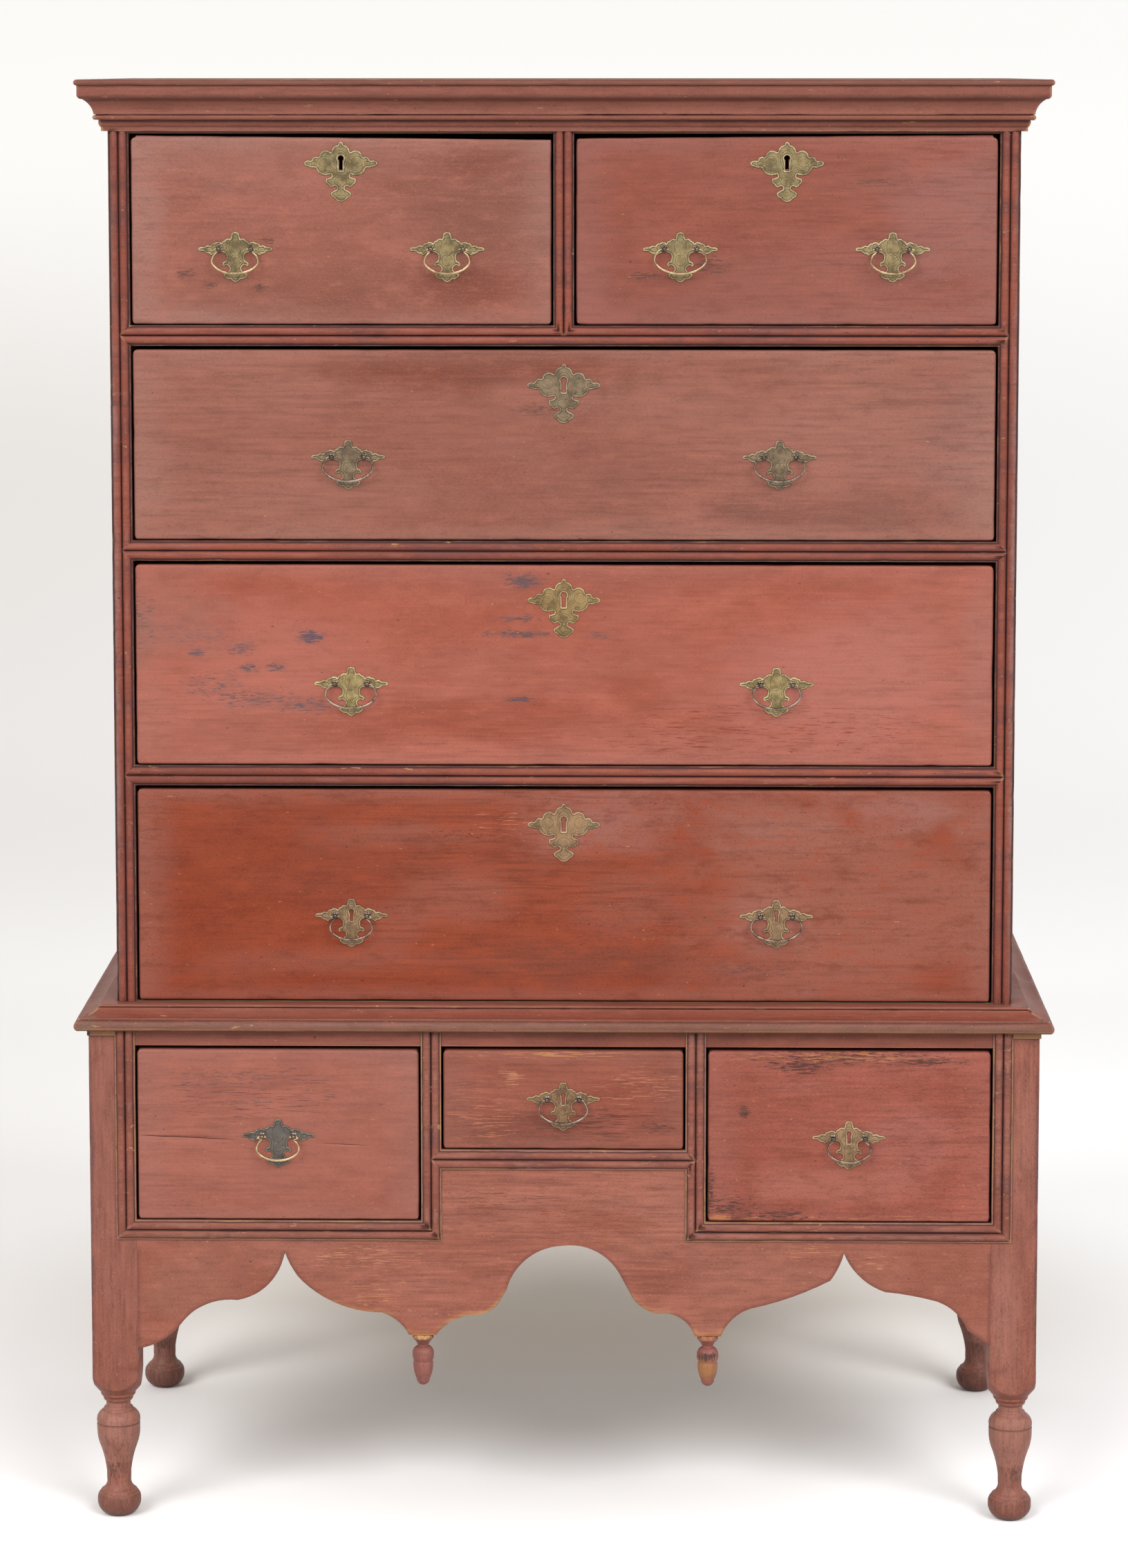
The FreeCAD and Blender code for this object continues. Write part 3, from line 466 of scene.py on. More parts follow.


# ------------ drawer fronts
# The place and half sizes of each mark are in millimetres.
# The paler pinkish patches on the third and lower right fronts are partly painted sheen, partly the paint's own
# tone.
FRONTS = {
    "top_left": dict(
        body=(177, 111, 95), deep=(161, 98, 81), haze=(180, 133, 121), haze_amount=0.4, rim_amount=0.34,
        patches=[(-260, 1325, 140, 35, (152, 94, 77), 0.6), (-70, 1410, 110, 100, (142, 88, 73), 0.85),
            (-170, 1460, 160, 30, (152, 92, 76), 0.7), (-80, 1462, 90, 28, (134, 68, 50), 0.65),
            (-85, 1330, 100, 30, (132, 70, 54), 0.65), (-300, 1430, 100, 50, (176, 110, 95), 0.5),
            (-240, 1305, 200, 30, (146, 88, 72), 0.8), (-445, 1390, 30, 100, (178, 130, 118), 0.5)],
        scuffs=[(-398, 1344.5, 14, 8, (118, 78, 70), 1), (-310, 1379, 12, 5, (112, 74, 66), 1),
            (-321.5, 1329, 16, 6, (112, 72, 64), 1), (-372, 1332, 12, 6, (120, 80, 70), 1),
            (-360, 1435, 50, 12, (150, 98, 86), 0.8)]),
    "top_right": dict(
        body=(161, 91, 74), deep=(151, 82, 65), haze=(168, 113, 104), haze_amount=0.35,
        patches=[(240, 1390, 120, 70, (157, 88, 71), 0.6), (400, 1410, 70, 90, (170, 114, 106), 0.6)],
        scuffs=[(84, 1342, 24, 6, (108, 72, 66), 1), (155, 1355, 26, 14, (112, 74, 68), 1),
            (330, 1440, 40, 6, (126, 80, 70), 0.8)]),
    "second": dict(
        body=(164, 102, 85), deep=(154, 93, 76), haze=(174, 124, 110), haze_amount=0.35, rim_amount=0.5,
        patches=[(-170, 1170, 140, 70, (160, 99, 82), 0.5), (0, 1120, 160, 50, (151, 93, 78), 0.5),
            (-60, 1250, 260, 35, (132, 69, 51), 0.85), (270, 1090, 170, 32, (133, 79, 67), 0.8),
            (-60, 1155, 100, 50, (156, 92, 76), 0.5), (270, 1170, 130, 80, (172, 108, 92), 0.6),
            (420, 1160, 60, 100, (156, 106, 97), 0.6)],
        scuffs=[(-20, 1200, 50, 10, (124, 80, 70), 0.8)]),
    "third": dict(
        body=(184, 105, 86), deep=(172, 90, 69), haze=(182, 118, 104), haze_amount=0.35, lively=1.1,
        patches=[(-300, 930, 140, 80, (194, 116, 99), 0.7), (-131, 879, 60, 14, (166, 91, 70), 0.8),
            (-52, 1006, 50, 24, (166, 92, 72), 0.7), (90, 950, 60, 100, (176, 98, 80), 0.5),
            (300, 915, 150, 90, (200, 124, 111), 0.65), (-452, 950, 22, 50, (140, 104, 90), 0.5),
            (-410, 980, 60, 60, (170, 116, 104), 0.5), (440, 930, 25, 100, (176, 114, 102), 0.6),
            (-50, 870, 220, 35, (161, 74, 48), 0.75), (50, 1020, 260, 26, (166, 92, 74), 0.7),
            (-290, 855, 150, 30, (164, 88, 68), 0.7), (80, 905, 45, 45, (166, 84, 60), 0.6)],
        scuffs=[(-268.6, 959, 20, 10, (104, 84, 92), 1.5), (-342, 946, 22, 10, (112, 92, 94), 0.9),
            (-390, 941, 12, 6, (108, 88, 92), 1.1), (-335, 925, 14, 6, (106, 86, 90), 1.1),
            (-305, 926, 14, 6, (110, 90, 92), 1.1), (-330, 893, 60, 14, (112, 90, 92), 0.8),
            (-275, 885, 50, 12, (112, 90, 92), 0.8), (-375, 905, 50, 20, (120, 92, 92), 0.6),
            (-380, 960, 60, 20, (130, 100, 98), 0.5), (-44, 1019, 26, 11, (104, 84, 88), 1.3),
            (-50, 979, 35, 5, (112, 84, 84), 1.1), (-45, 962, 50, 6, (108, 82, 82), 1.2),
            (37, 961, 20, 5, (118, 88, 88), 0.9), (-48, 892, 20, 4, (96, 78, 84), 1.2),
            (-450, 980, 20, 50, (118, 92, 84), 0.5)],
        scratches=[(200, 860, 200, 30, (150, 72, 52), 0.5)]),
    "fourth": dict(
        body=(154, 70, 42), deep=(145, 61, 34), haze=(166, 108, 94), haze_amount=0.14, rim_amount=0.6,
        lively=1.9,
        patches=[(-180, 745, 120, 22, (158, 96, 80), 0.6), (-200, 700, 200, 50, (142, 62, 38), 0.5),
            (300, 670, 220, 160, (166, 100, 82), 0.9), (35, 760, 100, 55, (168, 106, 92), 1),
            (-240, 610, 160, 20, (162, 92, 74), 0.6), (-360, 600, 70, 30, (158, 84, 62), 0.5),
            (-185, 645, 50, 35, (168, 98, 80), 0.45), (220, 650, 60, 40, (176, 116, 102), 0.5),
            (0, 610, 140, 30, (130, 64, 46), 0.8), (60, 670, 60, 50, (158, 88, 70), 0.6),
            (-110, 680, 70, 40, (168, 98, 80), 0.6), (360, 775, 120, 30, (172, 118, 106), 0.7),
            (230, 762, 140, 35, (170, 114, 100), 0.6)],
        scuffs=[(-100, 745, 60, 10, (122, 60, 42), 0.5), (200, 600, 70, 10, (126, 78, 68), 0.7)],
        scratches=[(-60, 760, 40, 15, (206, 128, 98), 0.3)]),
    "lower_left": dict(
        body=(176, 106, 89), deep=(160, 92, 75), haze=(164, 114, 103), haze_amount=0.3, lively=1.0,
        patches=[(-300, 400, 100, 60, (172, 106, 90), 0.5), (-410, 360, 50, 40, (160, 96, 80), 0.5)],
        scuffs=[(-347, 488.5, 80, 12, (138, 92, 82), 0.6), (-390, 480, 30, 6, (132, 88, 80), 0.6),
            (-325, 461, 30, 6, (132, 92, 84), 0.7), (-400, 350, 30, 6, (130, 86, 76), 0.5)],
        scratches=[(-330, 470, 100, 30, (110, 72, 66), 0.25)]),
    "lower_centre": dict(
        body=(160, 89, 71), deep=(148, 78, 58), haze=(164, 108, 94), haze_amount=0.25,
        patches=[(70, 470, 60, 40, (150, 74, 54), 0.65), (-40, 430, 110, 28, (122, 65, 49), 0.85),
            (-115, 470, 20, 60, (144, 80, 64), 0.6), (110, 470, 30, 70, (132, 64, 46), 0.65)],
        scuffs=[(100, 436, 30, 10, (104, 66, 60), 0.7), (-90, 430, 30, 30, (124, 78, 64), 0.5)],
        scratches=[(-56.6, 489.7, 16, 12, (200, 136, 100), 0.9), (-20, 514, 100, 5, (206, 140, 92), 1.2),
            (80, 480, 50, 25, (196, 130, 102), 0.7), (-85, 450, 40, 45, (190, 118, 92), 0.6),
            (40, 440, 80, 20, (104, 60, 50), 0.8)]),
    "lower_right": dict(
        body=(168, 92, 75), deep=(156, 80, 62), haze=(176, 110, 98), haze_amount=0.25, lively=1.9,
        patches=[(210, 475, 100, 35, (152, 80, 62), 0.6), (230, 375, 40, 30, (176, 104, 88), 0.6),
            (170, 400, 20, 80, (150, 88, 74), 0.7), (430, 465, 45, 35, (152, 78, 60), 0.8),
            (252, 480, 50, 12, (178, 106, 92), 0.6), (300, 345, 140, 12, (140, 74, 58), 0.6),
            (310, 370, 100, 30, (186, 116, 100), 0.6), (180, 420, 30, 70, (154, 82, 64), 0.5),
            (370, 420, 60, 50, (178, 110, 98), 0.6)],
        scuffs=[(248, 502, 46, 12, (90, 56, 50), 1.1), (387, 508, 55, 6, (90, 56, 50), 1.1),
            (193, 452.5, 7, 7, (90, 56, 50), 1.3), (157, 368, 6, 26, (92, 58, 52), 1.1),
            (237.5, 340, 55, 8, (92, 58, 52), 1), (170, 345, 50, 20, (92, 58, 52), 0.8),
            (300, 512, 130, 12, (96, 58, 50), 0.9), (166, 337, 16, 6, (196, 124, 84), 1.4)],
        scratches=[(300, 512, 140, 6, (206, 138, 88), 0.9), (300, 336, 130, 5, (206, 138, 88), 0.5)]),
}
top_edge_lift = {"top_left": (2.2, -2.6), "top_right": (-1.0, 3.0)}    # at its left and right corner, mm
front_step = 13 * MM            # how finely a front is cut, so that it can bend
edge_cuts = (1.2, 2.6, 4.2, 6.2)                # more cuts beside the edges, mm
face_depth = 6.0 * MM           # only this much of the front is shaped
planed = 0.28 * MM              # waves left by the plane
edge_zone = 3.2 * MM            # where knocks fall on the edges
knock_back, knock_in = 1.1 * MM, 0.8 * MM
edge_round = 5.0 * MM           # over which the face falls away to its edges
edge_drop = 1.1 * MM
corner_radius = 6.0 * MM
crack_start = Vector((-454, 0, 424.8)) * MM
crack_end = Vector((-211, 0, 414.7)) * MM
crack_gap = (-351 * MM, -262 * MM)              # whole wood behind the handle plate
crack_depth = 2.4 * MM
crack_fade = 20 * MM
crack_half_width = 0.4 * MM


def crack(bm, face):
    """A split along the grain: three cuts, with the middle one pushed in and fading at its ends."""
    along = (crack_end - crack_start).normalized()
    across = Vector((-along.z, 0, along.x))
    for offset in (-crack_half_width, 0, crack_half_width):
        cut_plane(bm, crack_start + across * offset, across)
    for v in bm.verts:
        far = (v.co - crack_start).dot(across)
        if abs(far) > crack_half_width * 1.01 or v.co.y > face + MM:
            continue
        x = v.co.x
        ends = min(x - crack_start.x, crack_end.x - x, max(crack_gap[0] - x, x - crack_gap[1]))
        if abs(far) < 1e-5:
            v.co.y += crack_depth * min(1.0, max(0.0, ends / crack_fade))
        v.co.z += 0.5 * MM * noise.noise(Vector((x * 55, 3, 0)))


def drawer_front(name):
    node = name + "_drawer_front"
    low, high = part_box(node)
    bm = cad_mesh(node)
    for axis in (0, 2):
        slice_up(bm, axis, front_step)
    for axis in (0, 2):
        for inset in edge_cuts:
            cut_plane(bm, unit(axis) * (low[axis] + inset * MM), unit(axis))
            cut_plane(bm, unit(axis) * (high[axis] - inset * MM), unit(axis))
    left, right = top_edge_lift.get(name, (0.0, 0.0))
    seed = low.x * 7 + low.z * 3
    if name == "lower_left":
        crack(bm, low.y)
    for v in bm.verts:
        co = v.co
        across = (co.x - low.x) / (high.x - low.x)
        up = (co.z - low.z) / (high.z - low.z)
        if up > 0.5:
            co.z += (left + (right - left) * across) * MM * (up - 0.5) * 2
        if co.y > low.y + face_depth:
            continue
        co.y += planed * noise.noise(Vector((co.x * 9, seed, co.z * 14)))
        near_side = min(co.x - low.x, high.x - co.x)
        near_end = min(co.z - low.z, high.z - co.z)
        in_x = copysign(1.0, (low.x + high.x) / 2 - co.x)
        in_z = copysign(1.0, (low.z + high.z) / 2 - co.z)
        fall = max(0.0, 1 - max(0.0, min(near_side, near_end)) / edge_round)
        co.y += edge_drop * (1 - sqrt(max(0.0, 1 - fall * fall)))
        if near_side < corner_radius and near_end < corner_radius:
            a, b = corner_radius - near_side, corner_radius - near_end
            past = max(0.0, 1 - corner_radius / max(hypot(a, b), 1e-9))
            co.x += in_x * a * past
            co.z += in_z * b * past
        if min(near_side, near_end) < edge_zone:
            hit = max(0.0, noise.noise(Vector((co.x * 42 + seed, co.z * 42, seed))) - 0.1)
            co.y += knock_back * hit
            if near_end < edge_zone:
                co.z += in_z * knock_in * hit
            else:
                co.x += in_x * knock_in * hit
    material = paint("paint_" + node, rim=(low.x, high.x, low.z, high.z), seed=seed, wear=0.62,
                     roughness=0.47, **FRONTS[name])
    piece("aged_" + node, bm, material, node)


for name in FRONTS:
    drawer_front(name)


# ------------ brasses
plate_pitch = 0.8               # between the points of a plate, mm
plate_thickness = 1.2 * MM
cut_depth = 0.28 * MM
cut_width = 0.42 * MM
rim_line = 1.9 * MM             # of the line cut round inside the rim
rim_round = 0.7 * MM
dish = Vector((14, 0.35, 16)) * MM              # half width, rise and half height of the swelling


def arc_points(p, q, bulge):
    """Points from p up to, not with, q. bulge is the arc's height over its half chord, to the left
    of the way it runs."""
    p, q = np.array(p, float), np.array(q, float)
    chord = q - p
    half = np.hypot(*chord) / 2
    count = max(1, round(2 * half / plate_pitch * (1 + abs(bulge))))
    left = np.array((-chord[1], chord[0])) / (2 * half)
    radius = half * (1 + bulge * bulge) / (2 * bulge)
    centre = (p + q) / 2 + left * (bulge * half - radius)
    start = atan2(*(p - centre)[::-1])
    turn = -4 * atan(bulge)
    size = abs(radius)
    angles = [start + turn * i / count for i in range(count)]
    return [centre + size * np.array((cos(a), sin(a))) for a in angles]


def closed_outline(steps):
    """Whole outline from its right half, (x, z, bulge of the arc to the next point), top to bottom."""
    right = []
    for here, there in zip(steps, steps[1:]):
        right += arc_points(here[:2], there[:2], here[2])
    right.append(np.array(steps[-1][:2], float))
    left = [np.array((-x, z)) for x, z in right[1:-1]]
    return np.array(right + left[::-1]) * MM


def distance_to(points, loop, closed=True):
    """Distance from each point to a line of points."""
    a = loop
    b = np.roll(loop, -1, axis=0)
    if not closed:
        a, b = a[:-1], b[:-1]
    run = b - a
    length = np.maximum((run ** 2).sum(1), 1e-18)
    out = np.full(len(points), 1.0)
    for start, way, size in zip(a, run, length):
        t = np.clip(((points - start) @ way) / size, 0, 1)
        out = np.minimum(out, np.hypot(*(points - start - t[:, None] * way).T))
    return out


def inside(points, loop):
    """Which points lie within a closed line."""
    x, z = points.T
    hit = np.zeros(len(points), bool)
    for (x0, z0), (x1, z1) in zip(loop, np.roll(loop, -1, axis=0)):
        if z0 == z1:
            continue
        crosses = (z0 > z) != (z1 > z)
        hit ^= crosses & (x < (x1 - x0) * (z - z0) / (z1 - z0) + x0)
    return hit


def ring(x, z, rx, rz, start=0.0, end=360.0):
    """Points of an ellipse, or of a part of it, given in mm and degrees."""
    angles = np.radians(np.linspace(start, end, 18, endpoint=end - start < 359))
    return np.stack((x + rx * np.cos(angles), z + rz * np.sin(angles)), 1) * MM


def keyhole_loop(z, radius, slot, drop):
    angles = np.radians(np.linspace(-50, 230, 16))
    points = [(radius * cos(a), z + radius * sin(a)) for a in angles]
    return np.array(points + [(-slot, z - drop), (slot, z - drop)]) * MM


# Right halves of the plates: x, z in mm and the bulge of the arc to the next point. The cuts are rings.
HANDLE_PLATE = [
    (0, 17.6, 0.5), (4.4, 13.2, 0.25), (5, 10.2, 0.42), (11.2, 8.6, 0.35), (14.6, 5.6, 0.42),
    (21.6, 6.2, 0.3), (26.2, 3, 0.35), (31.6, 2.6, -0.15), (36, 1.8, 0.25), (39.2, 0, 0.5),
    (37.4, -2.4, -0.1), (32.6, -2.8, 0.3), (27, -5.4, 0.6), (24.2, -6.4, -0.2), (20.6, -4.4, -0.25),
    (11.4, -4.6, -0.3), (9.4, -8.4, -0.1), (10.4, -13, 0.3), (14, -15.8, 0.5), (12, -18.6, -0.5),
    (7.4, -18.4, -0.45), (7.2, -23.2, -0.1), (12.8, -26.4, 0.35), (10.6, -30.2, 0.3),
    (5.2, -31.6, 0.2), (0, -35.2, 0)]
ESCUTCHEON = [
    (0, 22.2, 0.5), (2.6, 19.4, -0.3), (3.4, 18.8, 0.3), (9.2, 13.6, -0.4), (10.8, 11.4, 0.55),
    (22.4, 8.4, -0.4), (23.8, 6.2, 0.5), (30.4, 3.6, -0.3), (31.6, 2.4, 0.4), (38.8, 0, 0.4),
    (34, -3.4, 0.25), (28, -4.6, -0.3), (25.2, -7.4, 0.35), (13.4, -12.2, 0.4), (11.4, -11.4, -0.9),
    (11.2, -15, -0.1), (15.2, -16, 0.5), (12.8, -22.6, 0.35), (9.4, -25.4, -0.1), (6.6, -24, -0.9),
    (5.4, -28, 0.1), (10.8, -31.4, 0.4), (6.8, -36.4, 0.25), (0, -40.6, 0)]
HANDLE_CUTS = [ring(0, 2, 6.6, 9.6), ring(0, -12, 5.4, 6.0), ring(0, -26, 5.6, 4.2, 200, 340)]
ESCUTCHEON_CUTS = [ring(0, 3, 7.0, 10.5), ring(0, -19.5, 6.6, 5.0), ring(0, -31, 4.2, 3.4),
                   ring(-17.5, 1.6, 6.4, 5.6, -160, 160), ring(17.5, 1.6, 6.4, 5.6, 20, 330)]
for side in (-1, 1):
    HANDLE_CUTS += [ring(side * 17, 1.0, 4.6, 4.6), ring(side * 27.5, -0.8, 3.6, 2.2, 0, 300)]
    ESCUTCHEON_CUTS += [ring(side * 28.0, -0.2, 3.2, 2.2), ring(side * 14.6, -9.6, 3.0, 2.2, 30, 250)]


def build_plate(name, half_outline, cuts, holes, place, material, node):
    """Cast plate on a drawer face: rounded rim, a line cut round inside it and chased rings."""
    loops = [closed_outline(half_outline)] + holes
    low, high = loops[0].min(0), loops[0].max(0)
    grid = []
    step = plate_pitch * MM
    row_step = step * 0.87
    for row in range(int((high[1] - low[1]) / row_step) + 1):
        z = low[1] + row * row_step
        xs = np.arange(low[0] + (row % 2) * step / 2, high[0], step)
        grid.append(np.stack((xs, np.full(len(xs), z)), 1))
    grid = np.concatenate(grid)
    keep = inside(grid, loops[0])
    for hole in holes:
        keep &= ~inside(grid, hole)
    for loop in loops:
        keep &= distance_to(grid, loop) > step * 0.45
    points = np.concatenate(loops + [grid[keep]])
    edges = []
    start = 0
    for line in loops:
        edges += [(start + i, start + (i + 1) % len(line)) for i in range(len(line))]
        start += len(line)
    verts, _, faces, _, _, _ = delaunay_2d_cdt([Vector(p) for p in points], edges, [], 1, 1e-7)
    flat = np.array([tuple(v) for v in verts])
    centres = np.array([flat[list(face)].mean(0) for face in faces])
    in_hole = np.zeros(len(faces), bool)
    for hole in holes:
        in_hole |= inside(centres, hole)
    rim = np.min([distance_to(flat, loop) for loop in loops], axis=0)
    depth = np.exp(-((rim - rim_line) / cut_width) ** 2)
    # crest: a band just inside the outline and next to each cut line, kept as 'rim' for the painted highlight and
    # wear there.
    crest = np.exp(-((rim - rim_round) / (0.55 * MM)) ** 2)
    for cut in cuts:
        off = distance_to(flat, cut, False)
        depth = np.maximum(depth, 0.85 * np.exp(-(off / cut_width) ** 2))
        crest = np.maximum(crest, 0.7 * np.exp(-((off - 0.95 * MM) / (0.4 * MM)) ** 2))
    rise = plate_thickness * (0.5 + 0.5 * np.sqrt(np.clip(rim / rim_round, 0, 1))) - cut_depth * depth
    rise += dish.y * np.exp(-(flat[:, 0] / dish.x) ** 2 - (flat[:, 1] / dish.z) ** 2)
    bm = bmesh.new()
    cut_layer, rim_layer = [bm.verts.layers.float.new(name) for name in ("cut", "rim")]
    x0, face_y, z0 = place
    made = []
    for (x, z), up, sink, bright in zip(flat, rise, depth, crest):
        v = bm.verts.new((x0 + x, face_y - up, z0 + z))
        v[cut_layer] = float(sink)
        v[rim_layer] = float(bright)
        made.append(v)
    for face, empty in zip(faces, in_hole):
        if not empty:
            bm.faces.new([made[i] for i in face])
    bmesh.ops.delete(bm, geom=[v for v in bm.verts if not v.link_faces], context="VERTS")
    border = [e for e in bm.edges if e.is_boundary]
    for item in bmesh.ops.extrude_edge_only(bm, edges=border)["geom"]:
        if isinstance(item, bmesh.types.BMVert):
            item.co.y = face_y
            item[cut_layer] = 0.4
    piece(name, bm, material, node, 48, metal=True)


def circle(count):
    return [(cos(tau * i / count), sin(tau * i / count)) for i in range(count)]


def lathe(bm, profile, place):
    """Turns (radius, forward) pairs about the line through place that runs front to back."""
    tube(bm, [[bm.verts.new((place.x + radius * x, place.y - forward, place.z + radius * z))
               for x, z in circle(20)] for radius, forward in profile])


post_spacing = 34.0 * MM
pivot_out = 8.0 * MM
wood_thickness = 20.0 * MM
ball_radius = 2.7 * MM
# Collar and neck of a post before its ball, (radius, forward) in mm.
POST_PROFILE = [(1.9, 0.9), (3.5, 1.1), (3.6, 1.7), (3.0, 2.3), (1.6, 2.8), (1.35, 4.0)]


def build_posts(name, hinge, face_y, material, node):
    """Two cotter posts: collar, neck and ball in front, the spread ends of the pin behind."""
    bm = bmesh.new()
    pin = [(1.9 * MM, -wood_thickness - 1.3 * MM)] + [(r * MM, out * MM) for r, out in POST_PROFILE]
    ball = [(ball_radius * sin(a), pivot_out - ball_radius * cos(a))
            for a in np.radians(np.linspace(24, 172, 12))]
    for side in (-1, 1):
        base = Vector((hinge.x + side * post_spacing / 2, face_y, hinge.z))
        lathe(bm, pin + ball, base)
        for turn in (-1, 1):
            foot = bmesh.ops.create_cube(bm, size=1.0)["verts"]
            for v in foot:
                v.co = Vector((v.co.x * 2.2 * MM, v.co.y * 1.1 * MM, v.co.z * 9 * MM))
                v.co += base + Vector((turn * 0.4 * MM, wood_thickness + 0.65 * MM, -turn * 4.5 * MM))
    piece(name, bm, material, node, 40, metal=True)


bail_drop = 25.6 * MM
bail_steps = 32                 # of the bend
# One end of a bail: out of the post and round to the bend, (x, z) in mm.
BAIL_END = [(12.4, 0.0), (15.0, 0.05), (18.4, 0.1), (20.6, -0.1), (22.0, -0.9)]


def build_bail(node, half_width, material, sag):
    """Bent bail: thin pins in the posts, thickest at the bottom of the loop."""
    hinge = joint_at[node + "_hinge"]
    low = 0.35 * bail_drop + sag
    tall = bail_drop - low
    path = [Vector((x, 0, z)) * MM for x, z in BAIL_END]
    first = asin(min(1.0, max(-1.0, (low - 3.2 * MM) / tall)))
    for i in range(bail_steps + 1):
        angle = first + (-pi - 2 * first) * i / bail_steps
        path.append(Vector((half_width * cos(angle), 0, -low + tall * sin(angle))))
    path += [Vector((-p.x, 0, p.z)) for p in path[len(BAIL_END) - 1::-1]]
    bm = bmesh.new()
    rings = []
    side = unit(1)
    for i, point in enumerate(path):
        out = (path[min(i + 1, len(path) - 1)] - path[max(i - 1, 0)]).normalized().cross(side)
        low_share = max(0.0, min(1.0, (-point.z - 3 * MM) / (bail_drop - 3 * MM)))
        radius = (1.0 + 0.5 * low_share ** 1.5) * MM
        rings.append([bm.verts.new(hinge + point + (side * a + out * b) * radius) for a, b in circle(12)])
    tube(bm, rings)
    piece("bent_" + node, bm, material, node, 60, metal=True)


olive = brass("brass_olive", (158, 138, 95), (110, 92, 59), (216, 200, 154))
dusk = brass("brass_dusk", (142, 120, 93), (104, 85, 63), (184, 166, 131))
bright = brass("brass_bright", (171, 150, 99), (124, 104, 63), (226, 209, 160), verdigris=0.08)
gilt = brass("brass_gilt", (160, 131, 84), (115, 90, 52), (207, 189, 142), verdigris=0.08)
golden = brass("brass_golden", (162, 127, 91), (119, 92, 63), (198, 175, 135), verdigris=0.2)
ochre = brass("brass_ochre", (150, 116, 82), (110, 79, 54), (184, 155, 115))
slate = brass("brass_slate", (103, 95, 88), (76, 70, 67), (160, 140, 112), verdigris=0.05)
post_metal = brass("brass_posts", (123, 110, 95), (77, 67, 59), (175, 164, 148), 0.9, 0.28, 0.0)
bail_pale = brass("brass_bail_pale", (206, 181, 142), (148, 122, 90), (210, 194, 161), 0.9, 0.24, 0.0)
bail_dark = brass("brass_bail_dark", (168, 150, 135), (102, 86, 76), (194, 180, 163), 0.95, 0.24, 0.0)

BRASSES = {     # metal of plates and bails, half widths of the bails and drop of the escutcheon in mm
    "top_left": (olive, bail_pale, (24.4, 23.8), 26.8),
    "top_right": (olive, bail_pale, (27.2, 23.4), 26.8),
    "second": (dusk, bail_dark, (26.4, 26.4), 36.8),
    "third": (bright, bail_dark, (27.0, 25.2), 36.8),
    "fourth": (golden, bail_dark, (22.4, 27.2), 36.8),
    "lower_left": (slate, bail_pale, (22.6,), None),
    "lower_centre": (ochre, bail_dark, (25.8,), None),
    "lower_right": (golden, bail_dark, (23.0,), None)}
SLOTTED = ("fourth", "lower_centre", "lower_right")     # their handle plates have a keyhole


def dress_brasses(name):
    node = name + "_drawer_brasses"
    low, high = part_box(name + "_drawer_front")
    metal, bail_metal, widths, key_drop = BRASSES[name]
    for side, width in zip(("_left", "_right") if len(widths) > 1 else ("",), widths):
        bail = name + "_drawer_bail" + side
        label = name + "_handle" + side
        hinge = joint_at[bail + "_hinge"]
        holes = [keyhole_loop(4.0, 2.5, 1.5, 10.5)] if name in SLOTTED else []
        place = (hinge.x, low.y, hinge.z)
        build_plate(label + "_plate", HANDLE_PLATE, HANDLE_CUTS, holes, place, metal, node)
        build_posts(label + "_posts", hinge, low.y, post_metal, node)
        build_bail(bail, width * MM, bail_metal, 1.2 * MM if width > 25 else 3.2 * MM)
    if key_drop:
        place = ((low.x + high.x) / 2, low.y, high.z - key_drop * MM)
        holes = [keyhole_loop(5.0, 3.3, 2.2, 13.0)]
        build_plate(name + "_escutcheon", ESCUTCHEON, ESCUTCHEON_CUTS, holes, place,
                    gilt if metal is bright else metal, node)


for name in FRONTS:
    dress_brasses(name)


# ------------ carcase
def aged(node, material, slices, amount, wave, dents=0.0, round_off=None):
    """Copy of a CAD node with eased edges and a hand-worked surface. Slices are (axis, step), the step,
    the amount of sway and the dents in millimetres, the wave in metres."""
    bm = cad_mesh(node)
    if round_off:
        soften(bm, *round_off)
    for axis, step in slices:
        slice_up(bm, axis, step * MM)
    sway(bm, amount * MM, wave, dents * MM)
    piece("aged_" + node, bm, material, node)


def courses(level, *rows):
    """Bands of paint() from rows of (lower edge, upper edge, colour, amount), edges in mm from a level."""
    return [(level + low * MM, level + high * MM, shade, amount) for low, high, shade, amount in rows]


aged("upper_bead_mouldings",
     paint("paint_upper_beads", (160, 86, 68), (138, 74, 60), (156, 104, 92), haze_amount=0.15,
           bead=chest_crest, chips=0.35, wear=0.6, seed=2.1,
           patches=[(side * 478, 1000, 6, 600, (164, 123, 115), 0.95) for side in (-1, 1)]),
     [(0, 14), (2, 14)], 0.12, 0.04, 0.35)
aged("lower_bead_mouldings",
     paint("paint_lower_beads", (158, 94, 79), (140, 80, 64), (172, 124, 106), bead=base_crest,
           chips=0.7, wear=0.7, seed=3.7),
     [(0, 12), (2, 12)], 0.12, 0.04, 0.35)

# Bands of the cornice by height: its own paint with painted shade and light, dark lines in the narrow hollows and
# the cove dark at its top and pale at its foot.
cornice_tones_and_shading = courses(
    chest_top, (-2.6, 1, (104, 76, 70), 0.6), (-6.4, -2.6, (146, 98, 82), 0.7),
    (-8.4, -6.2, (96, 60, 58), 0.7), (-15.2, -6.4, (158, 98, 84), 0.6), (-23, -15.4, (126, 80, 68), 0.8),
    (-36, -23, (188, 120, 102), 0.85), (-38.0, -35.8, (98, 58, 52), 0.65),
    (-42.5, -38.1, (160, 100, 84), 0.7), (-45.5, -42.5, (104, 64, 58), 0.65))
aged("cornice_moulding",
     paint("paint_cornice", (150, 88, 72), (136, 77, 61), (160, 108, 94), haze_amount=0.2, chips=0.3,
           wear=0.75, seed=5.2,
           bands=cornice_tones_and_shading + [(cornice_floor, chest_top - 50 * MM, (150, 98, 84), 0.7)]),
     [(0, 9), (1, 12)], 0.18, 0.05, 0.7)
